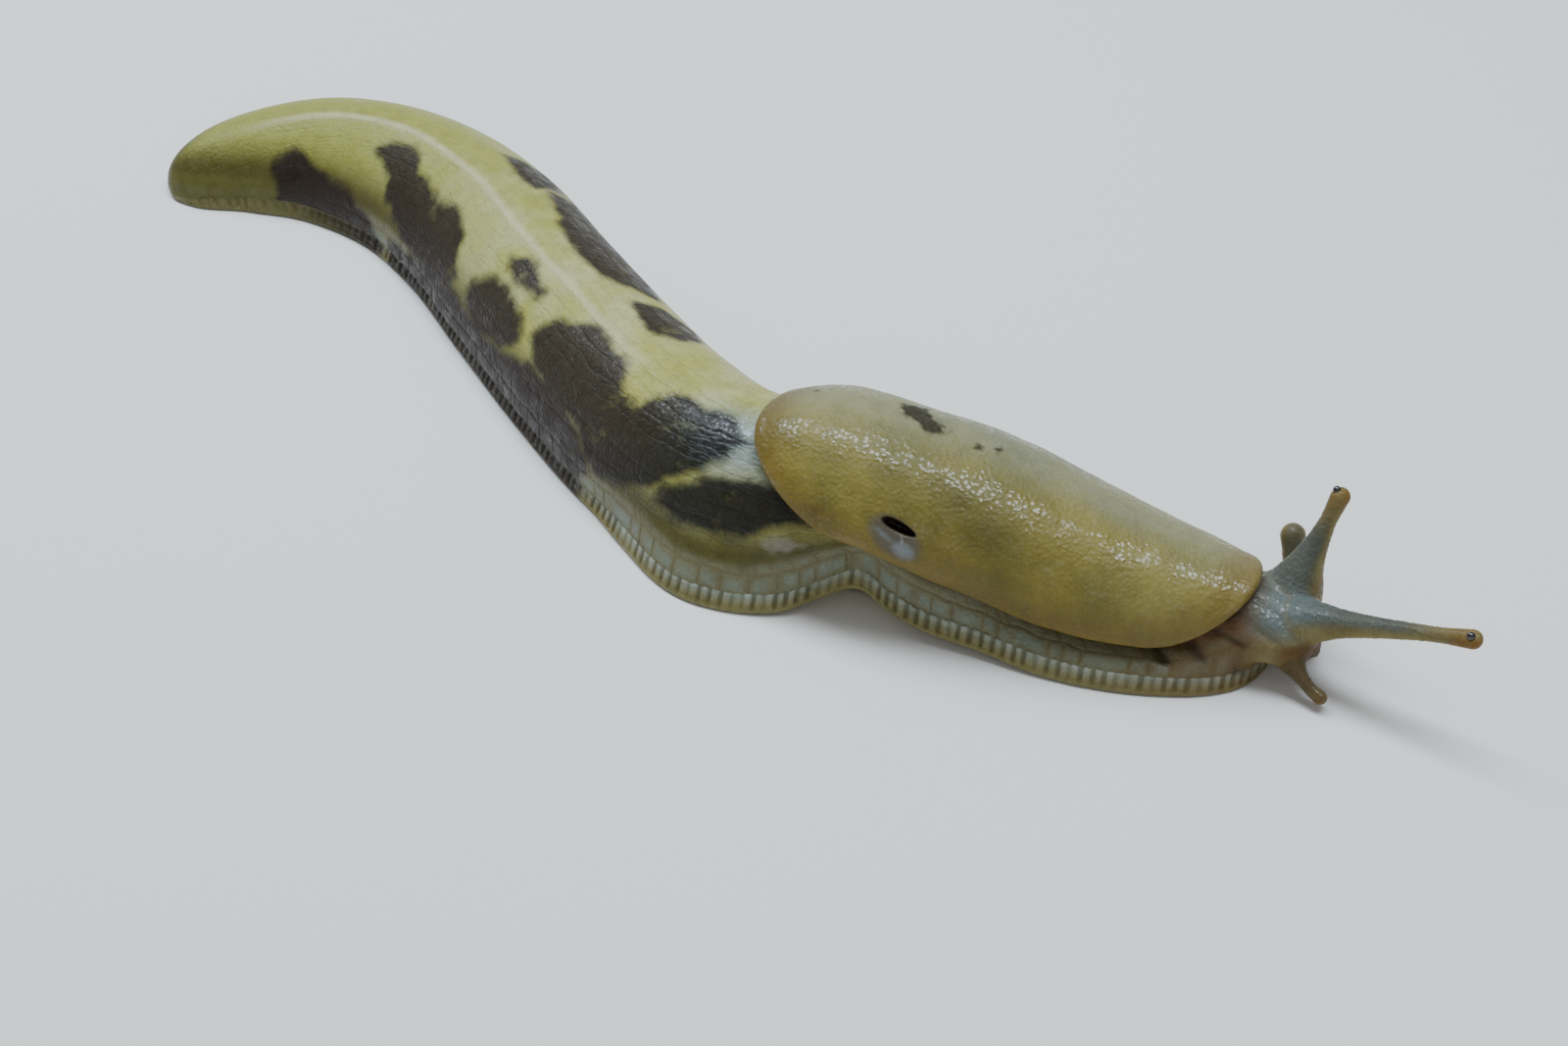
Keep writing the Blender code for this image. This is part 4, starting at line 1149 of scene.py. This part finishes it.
def add_grain(s, scale, dry, wet):
    """The shared grain in a material, with its own values."""
    made = s.node("ShaderNodeGroup", node_tree=moist_grain())
    made.inputs["Grain Scale"].default_value = scale
    made.inputs["Dry"].default_value = dry
    made.inputs["Wet"].default_value = wet
    return made.outputs


def moist_shader(s, shader, colour, roughness, height, bump_size, wet, film_roughness):
    """Gives a shader what varies over wet flesh, its light under the skin, and a thin clear film."""
    bump = s.node("ShaderNodeBump", {"Height": height, "Distance": bump_size, "Strength": 1.0})
    varied = {
        "Base Color": colour, "Roughness": roughness, "Normal": bump.outputs["Normal"], "Coat Weight": wet,
    }
    for name, value in varied.items():
        s.tree.links.new(value, shader.inputs[name])
    same = {
        "Subsurface Weight": 0.25, "Subsurface Radius": (1.0, 0.62, 0.3), "Subsurface Scale": 1.2 * MM,
        "IOR": 1.4, "Specular IOR Level": 0.3, "Coat Roughness": film_roughness, "Coat IOR": 1.5,
    }
    for name, value in same.items():
        shader.inputs[name].default_value = value


def skin_material(settings):
    """Khaki skin with dark blotches, furrows, a pale fringe, a grey head and amber feeler tips, and painted
    light: shade on the lower sides, under the mantle's edge and in the neck's creases, a sheen and glints
    behind the mantle, and a highlight along the keel.
    """
    made, s, shader = new_material("slug_skin")
    where = s.node("ShaderNodeTexCoord").outputs["Object"]
    grain = add_grain(s, 3000.0, 0.55, 0.36)
    cloud = s.noise(where, 160.0, 3.0)
    fine = s.noise(where, 1500.0, 3.0)
    foot, level, belt, front = s.field("foot"), s.field("level"), s.field("belt"), s.field("front")
    head, limb, up = s.field("head"), s.field("limb"), s.field("up")
    along = s.field("along")

    colour = s.mix(s.ease(cloud, 0.35, 0.68), settings.back, settings.keel)
    colour = s.mix(0.55, settings.back, colour)
    colour = s.mix(s.ease(along, 95.0, 6.0), colour, settings.tail)
    khaki = s.mix(s.ease(along, 40.0, 12.0), (0.17, 0.155, 0.08, 1.0), settings.tail)
    # Pale keel line, partly a painted highlight.
    colour = s.mix(s.times(s.field("keel"), 0.75), colour, settings.keel)
    # The lower sides turn olive: partly the skin's own colour, partly painted shade.
    colour = s.mix(s.ease(up, 9.5, 4.3, 0.0, 0.95), colour, settings.flank_and_shade)
    colour = s.mix(front, colour, settings.neck)
    colour = s.mix(s.times(belt, 0.9), colour, khaki)
    cells = tile_texture(s, s.vector("belt_tiles"), 0.42, 0.34, 1.0)
    glassy = s.times(s.less(1.0, cells), s.ease(up, 4.4, 1.0, 0.1, 0.85),
                     s.ease(s.noise(where, 520.0), 0.3, 0.6, 0.5, 1.0))
    colour = s.mix(s.times(belt, glassy), colour, settings.belt)

    ragged = s.plus(s.field("dark"), s.times(s.less(fine, 0.5), 0.5))
    ragged = s.plus(ragged, s.times(s.less(s.noise(where, 420.0), 0.5), 0.9))
    dark = s.ease(ragged, -0.95, 0.8)
    pale = s.times(s.ease(s.noise(where, 260.0, 3.0), 0.6, 0.74), 0.2)
    dark = s.times(dark, s.less(1.0, pale))
    # Painted sheen and glints behind the mantle: a blue-grey tint with fine pale dashes standing in for
    # reflections.
    stretched = s.node(
        "ShaderNodeVectorMath", {0: s.vector("long_tiles"), 1: (2.6, 7.0, 1.0)}, operation="MULTIPLY")
    painted_glints = s.ease(s.noise(stretched.outputs["Vector"], 1.0), 0.48, 0.7, 0.0, 0.5)
    colour = s.mix(s.times(s.field("painted_sheen"), 0.75), colour, (0.16, 0.225, 0.25, 1.0))
    blotch = s.mix(s.ease(along, 98.0, 112.0), settings.blotch, (0.0062, 0.005, 0.0062, 1.0))
    colour = s.mix(s.times(dark, 0.96), colour, blotch)
    painted_glints = s.times(painted_glints, s.less(1.0, s.times(dark, 0.6)))
    colour = s.mix(s.times(s.field("painted_sheen"), painted_glints), colour, (0.5, 0.62, 0.68, 1.0))

    long_line = hide_texture(s, s.vector("long_tiles"), 0.075, 0.1)
    belt_line = tile_texture(s, s.vector("belt_tiles"), 0.06, 0.045, 0.9)
    not_belt = s.less(1.0, belt)
    lines = s.plus(s.times(long_line, not_belt), s.times(belt_line, belt))
    off_head = s.less(1.0, s.most(head, limb))
    lines = s.times(lines, off_head, s.less(1.0, s.times(front, 0.6)),
                    s.ease(s.noise(where, 700.0), 0.3, 0.62, 0.35, 1.0))
    strength = s.plus(s.ease(along, 60.0, 108.0, 0.1, 0.3), s.times(dark, 0.5))
    strength = s.times(strength, s.less(1.0, s.times(belt, 0.55)))
    colour = s.mix(s.times(lines, strength), colour, (0.3, 0.27, 0.2, 1.0), "MULTIPLY")
    colour = s.mix(s.times(s.field("scar"), 0.7), colour, settings.scar)
    # Painted shadow under the mantle's edge.
    colour = s.mix(s.times(s.field("under"), 0.45), colour, (0.46, 0.38, 0.26, 1.0), "MULTIPLY")

    on_fringe = s.times(foot, s.ease(level, 1.14, 1.02))
    run = s.math("PINGPONG", s.field("fringe_run"), 0.5)
    upright = s.times(s.ease(run, 0.34, 0.05), s.ease(level, 0.15, 0.4), s.field("groove"))
    blocks = s.mix(s.times(s.field("tone"), 0.6), settings.fringe, settings.belt)
    blocks = s.mix(s.ease(level, 0.95, 0.35, 0.0, 0.9), blocks, settings.rim)
    blocks = s.mix(s.times(upright, 0.85), blocks, (0.4, 0.37, 0.24, 1.0), "MULTIPLY")
    blocks = s.mix(s.times(front, 0.35), blocks, settings.neck)
    # The fringe takes the dark marks too; on the lower right flank these are partly painted shade.
    blocks = s.mix(s.times(dark, 0.93), blocks, settings.blotch)
    blocks = s.mix(s.ease(along, 40.0, 10.0), blocks, (0.15, 0.135, 0.05, 1.0))
    colour = s.mix(on_fringe, colour, blocks)
    seam = s.times(s.ease(level, 0.99, 1.07), s.ease(level, 1.2, 1.1), foot)
    colour = s.mix(s.times(seam, 0.35), colour, (0.4, 0.34, 0.24, 1.0), "MULTIPLY")
    colour = s.mix(s.times(foot, s.field("belly")), colour, settings.sole)

    crown = s.field("crown")
    mauve = s.mix(s.ease(s.noise(where, 420.0), 0.4, 0.62, 0.0, 0.3), settings.neck, (0.17, 0.12, 0.1, 1.0))
    tan = s.mix(s.ease(along, 168.0, 173.0), mauve, settings.stalk)
    colour = s.mix(s.times(head, 0.9), colour, tan)
    colour = s.mix(s.times(head, crown), colour, settings.head)
    snout = s.times(head, s.ease(along, 171.5, 175.0), s.ease(crown, 0.3, 0.0))
    colour = s.mix(snout, colour, settings.snout)
    # Painted shade in the neck's creases.
    crease_and_shade = s.times(s.field("crease_and_shade"), s.ease(crown, 0.1, 0.9, 0.95, 0.2))
    colour = s.mix(crease_and_shade, colour, (0.36, 0.26, 0.2, 1.0), "MULTIPLY")

    reach, top = s.field("reach"), s.field("top")
    stalk = s.mix(s.ease(cloud, 0.4, 0.62, 0.0, 0.4), settings.stalk, settings.neck)
    upper = s.times(s.ease(top, 0.0, 0.75), s.ease(reach, 0.95, 0.6))
    low_top = s.times(s.field("low"), s.ease(up, 4.0, 9.0), s.ease(top, 0.1, 0.95, 0.0, 0.8))
    grey = s.mix(s.ease(reach, 0.05, 0.4), settings.head, settings.stripe)
    stalk = s.mix(s.most(s.times(upper, s.field("stalk")), low_top), stalk, grey)
    low_right = s.times(s.field("low"), s.ease(up, 8.0, 4.0, 0.0, 0.8))
    stalk = s.mix(low_right, stalk, (0.48, 0.46, 0.6, 1.0), "MULTIPLY")
    stalk = s.mix(s.times(s.field("tip"), s.ease(top, 0.9, -0.3, 0.25, 0.9)), stalk, settings.tip)
    rings = s.plus(s.times(reach, 70.0), s.times(s.noise(where, 900.0), 1.6))
    rings = s.times(s.ease(s.math("PINGPONG", rings, 0.5), 0.2, 0.0), limb)
    stalk = s.mix(s.times(rings, 0.25), stalk, (0.5, 0.48, 0.42, 1.0), "MULTIPLY")
    colour = s.mix(limb, colour, stalk)
    colour = s.mix(s.ease(grain["Mottle"], 0.2, 1.0, 0.0, 0.3), colour, (0.55, 0.5, 0.4, 1.0), "MULTIPLY")

    height = s.plus(s.times(lines, -0.4), grain["Height"])
    height = s.less(height, s.times(upright, on_fringe, 1.5))
    height = s.less(height, s.times(rings, 0.4))
    ridges = s.times(s.noise(s.vector("long_tiles"), 4.0), s.ease(along, 92.0, 110.0))
    height = s.plus(height, s.times(ridges, off_head))
    patches = s.ease(s.noise(where, 300.0, 3.0), 0.38, 0.6, 0.3, 1.0)
    wet = s.times(s.field("wet"), patches, grain["Beads"])
    moist_shader(s, shader, colour, grain["Roughness"], height, 0.08 * MM, wet, 0.11)
    return made


def mantle_material(settings):
    """Ochre mantle with wet grain, an amber edge, dark spots and a pale hollow round the breathing hole, and
    painted light: a sky haze on its upper far side, shade on its lower side and inside the hole, and a glare in
    the hollow.
    """
    made, s, shader = new_material("slug_mantle")
    where = s.node("ShaderNodeTexCoord").outputs["Object"]
    grain = add_grain(s, 2600.0, 0.52, 0.38)
    cloud = s.noise(where, 110.0, 3.0)
    patch = s.noise(where, 330.0, 3.0)
    colour = s.mix(s.ease(cloud, 0.38, 0.66), settings.ochre, settings.olive)
    colour = s.mix(s.times(s.ease(patch, 0.5, 0.72), 0.35), colour, settings.olive)
    across = s.field("across")
    colour = s.mix(s.times(s.field("cloud"), 0.45), colour, (0.07, 0.06, 0.014, 1.0))
    # Painted reflection: a grey sky haze over the mantle's upper far side.
    painted_sky_haze = s.times(s.ease(across, -0.2, 0.12), s.ease(across, 0.7, 0.35, 0.0, 0.42))
    colour = s.mix(painted_sky_haze, colour, (0.29, 0.33, 0.28, 1.0))
    colour = s.mix(s.ease(s.field("along"), 150.0, 166.0, 0.0, 0.25), colour, (0.34, 0.3, 0.12, 1.0))
    # Amber towards the rim, and darker amber on the lower side that is partly painted shade.
    low = s.times(s.field("low"), s.ease(s.field("along"), 134.0, 152.0, 0.55, 0.15))
    edge = s.most(s.times(s.field("rim"), 0.5), low)
    colour = s.mix(edge, colour, settings.amber)
    colour = s.mix(s.ease(grain["Mottle"], 0.25, 1.0, 0.0, 0.25), colour, (0.6, 0.52, 0.35, 1.0), "MULTIPLY")
    colour = s.mix(s.ease(s.field("bowl"), 0.0, 0.7, 0.0, 0.85), colour, settings.hollow)
    # Painted glare in the hollow.
    colour = s.mix(s.times(s.ease(s.field("shine"), 0.0, 1.0), 0.45), colour, (0.27, 0.33, 0.36, 1.0))
    # Painted glint along the strand.
    colour = s.mix(s.times(s.field("strand"), 0.5), colour, (0.4, 0.43, 0.46, 1.0))
    ragged = s.plus(s.field("dark"), s.times(s.less(s.noise(where, 1100.0), 0.5), 1.5))
    colour = s.mix(s.ease(ragged, -0.35, 0.5, 0.0, 0.9), colour, settings.spot)
    # Painted shade inside the breathing hole.
    colour = s.mix(s.ease(s.field("slit"), 0.02, 0.3), colour, settings.hole)
    wet = s.times(s.ease(across, -0.7, -0.45, 0.15, 1.0), s.ease(across, 0.45, 0.2, 0.2, 1.0),
                  s.ease(s.noise(where, 250.0, 4.0), 0.4, 0.56, 0.06, 1.0), grain["Beads"])
    wet = s.most(wet, s.times(s.field("bowl"), 0.1))
    moist_shader(s, shader, colour, grain["Roughness"], grain["Height"], 0.1 * MM, wet, 0.08)
    return made


def eye_material(settings):
    """A near-black bead with a faint brown mottle under a clear film."""
    made, s, shader = new_material("slug_eye")
    grain = add_grain(s, 5200.0, 0.14, 0.05)
    colour = s.mix(s.ease(grain["Mottle"], 0.4, 1.0, 0.0, 0.7), settings.dark, settings.brown)
    s.tree.links.new(colour, shader.inputs["Base Color"])
    s.tree.links.new(grain["Roughness"], shader.inputs["Roughness"])
    shader.inputs["Coat Weight"].default_value = 1.0
    shader.inputs["Coat Roughness"].default_value = 0.04
    return made


def floor_material(settings):
    """A plain pale floor with a barely seen unevenness."""
    made, s, shader = new_material("stage_floor")
    where = s.node("ShaderNodeTexCoord").outputs["Object"]
    tone = s.ease(s.noise(where, 3.0, 4.0), 0.3, 0.7, 0.0, 0.06)
    s.tree.links.new(s.mix(tone, settings.floor, (0.6, 0.6, 0.6, 1.0)), shader.inputs["Base Color"])
    shader.inputs["Roughness"].default_value = 0.75
    return made


def area_light(name, where, target, size, power, colour):
    """A soft light at a place, aimed at another."""
    lamp = bpy.data.lights.new(name, "AREA")
    lamp.shape = "RECTANGLE"
    lamp.size, lamp.size_y = size
    lamp.energy = power
    lamp.color = colour
    made = put(name, lamp)
    made.location = where
    ahead = Vector(target) - Vector(where)
    across = Vector((0.0, 1.0, 0.0)) - ahead * (ahead.y / ahead.length_squared)
    made.rotation_euler = Matrix((across.cross(-ahead).normalized(), across.normalized(), -ahead.normalized())
                                 ).transposed().to_euler()


def make_stage(settings):
    """The floor, the lights and the camera."""
    half = settings.floor_size / 2
    mesh = bpy.data.meshes.new("floor")
    corners = [(x * half, y * half, -FLOOR_DROP) for x, y in ((-1, -1), (1, -1), (1, 1), (-1, 1))]
    mesh.from_pydata(corners, [], [(0, 1, 2, 3)])
    mesh.materials.append(floor_material(settings))
    floor = put("floor", mesh)

    area_light("main_light", (-0.14, 0.06, 0.55), (-0.03, 0.0, 0.0), (0.95, 0.2), settings.main_light, DAY)
    area_light("sky_light", (-0.132, 0.056, 0.515), (-0.03, 0.0, 0.0), (0.95, 0.16), settings.sky_light, SKY)
    area_light("side_light", (0.5, -0.6, 0.35), (0.02, 0.0, 0.01), (0.5, 0.4), settings.side_light, DAY)
    world = bpy.data.worlds.new("studio")
    world.use_nodes = True
    world.node_tree.nodes["Background"].inputs["Color"].default_value = (0.92, 0.95, 1.0, 1.0)
    world.node_tree.nodes["Background"].inputs["Strength"].default_value = 0.3
    bpy.context.scene.world = world

    lens = bpy.data.cameras.new("camera")
    lens.lens = 70.0
    lens.sensor_width = 36.0
    lens.clip_start, lens.clip_end = 0.01, 20.0
    camera = put("camera", lens)
    camera.location = CAMERA_PLACE
    camera.rotation_euler = Vector(CAMERA_AIM).to_track_quat("-Z", "Y").to_euler()
    bpy.context.scene.camera = camera


class SLUG_OT_make_skin(bpy.types.Operator):
    """Makes the skin of the body, foot, head and feelers"""

    bl_idname = "slug.make_skin"
    bl_label = "Make Skin"

    def execute(self, context):
        make_skin(context.scene.slug_skin)
        return {"FINISHED"}


class SLUG_OT_make_mantle(bpy.types.Operator):
    """Makes the mantle with its breathing hole"""

    bl_idname = "slug.make_mantle"
    bl_label = "Make Mantle"

    def execute(self, context):
        make_mantle(context.scene.slug_mantle)
        return {"FINISHED"}


class SLUG_OT_make_eyes(bpy.types.Operator):
    """Makes the two eyes"""

    bl_idname = "slug.make_eyes"
    bl_label = "Make Eyes"

    def execute(self, context):
        make_eyes(context.scene.slug_eyes)
        return {"FINISHED"}


class SLUG_OT_make_stage(bpy.types.Operator):
    """Makes the floor, the lights and the camera"""

    bl_idname = "slug.make_stage"
    bl_label = "Make Stage"

    def execute(self, context):
        make_stage(context.scene.slug_stage)
        return {"FINISHED"}


class SLUG_PT_panel(bpy.types.Panel):
    """Lists the slug's pieces"""

    bl_label = "Banana Slug"
    bl_space_type = "VIEW_3D"
    bl_region_type = "UI"
    bl_category = "Slug"

    def draw(self, context):
        for operator, name in PIECES:
            self.layout.operator(operator.bl_idname)
            box = self.layout.box()
            settings = getattr(context.scene, name)
            for key in settings.__annotations__:
                box.prop(settings, key)


PIECES = [
    (SLUG_OT_make_skin, "slug_skin"),
    (SLUG_OT_make_mantle, "slug_mantle"),
    (SLUG_OT_make_eyes, "slug_eyes"),
    (SLUG_OT_make_stage, "slug_stage"),
]
SETTINGS = [SlugSkinSettings, SlugMantleSettings, SlugEyeSettings, SlugStageSettings]


def register():
    for (operator, name), group in zip(PIECES, SETTINGS):
        bpy.utils.register_class(group)
        bpy.utils.register_class(operator)
        setattr(bpy.types.Scene, name, bpy.props.PointerProperty(type=group))
    bpy.utils.register_class(SLUG_PT_panel)


def unregister():
    bpy.utils.unregister_class(SLUG_PT_panel)
    for (operator, name), group in zip(PIECES, SETTINGS):
        delattr(bpy.types.Scene, name)
        bpy.utils.unregister_class(operator)
        bpy.utils.unregister_class(group)


def main():
    """Makes every piece and the stage."""
    register()
    bpy.ops.slug.make_skin()
    bpy.ops.slug.make_mantle()
    bpy.ops.slug.make_eyes()
    bpy.ops.slug.make_stage()


if __name__ == "__main__":
    main()
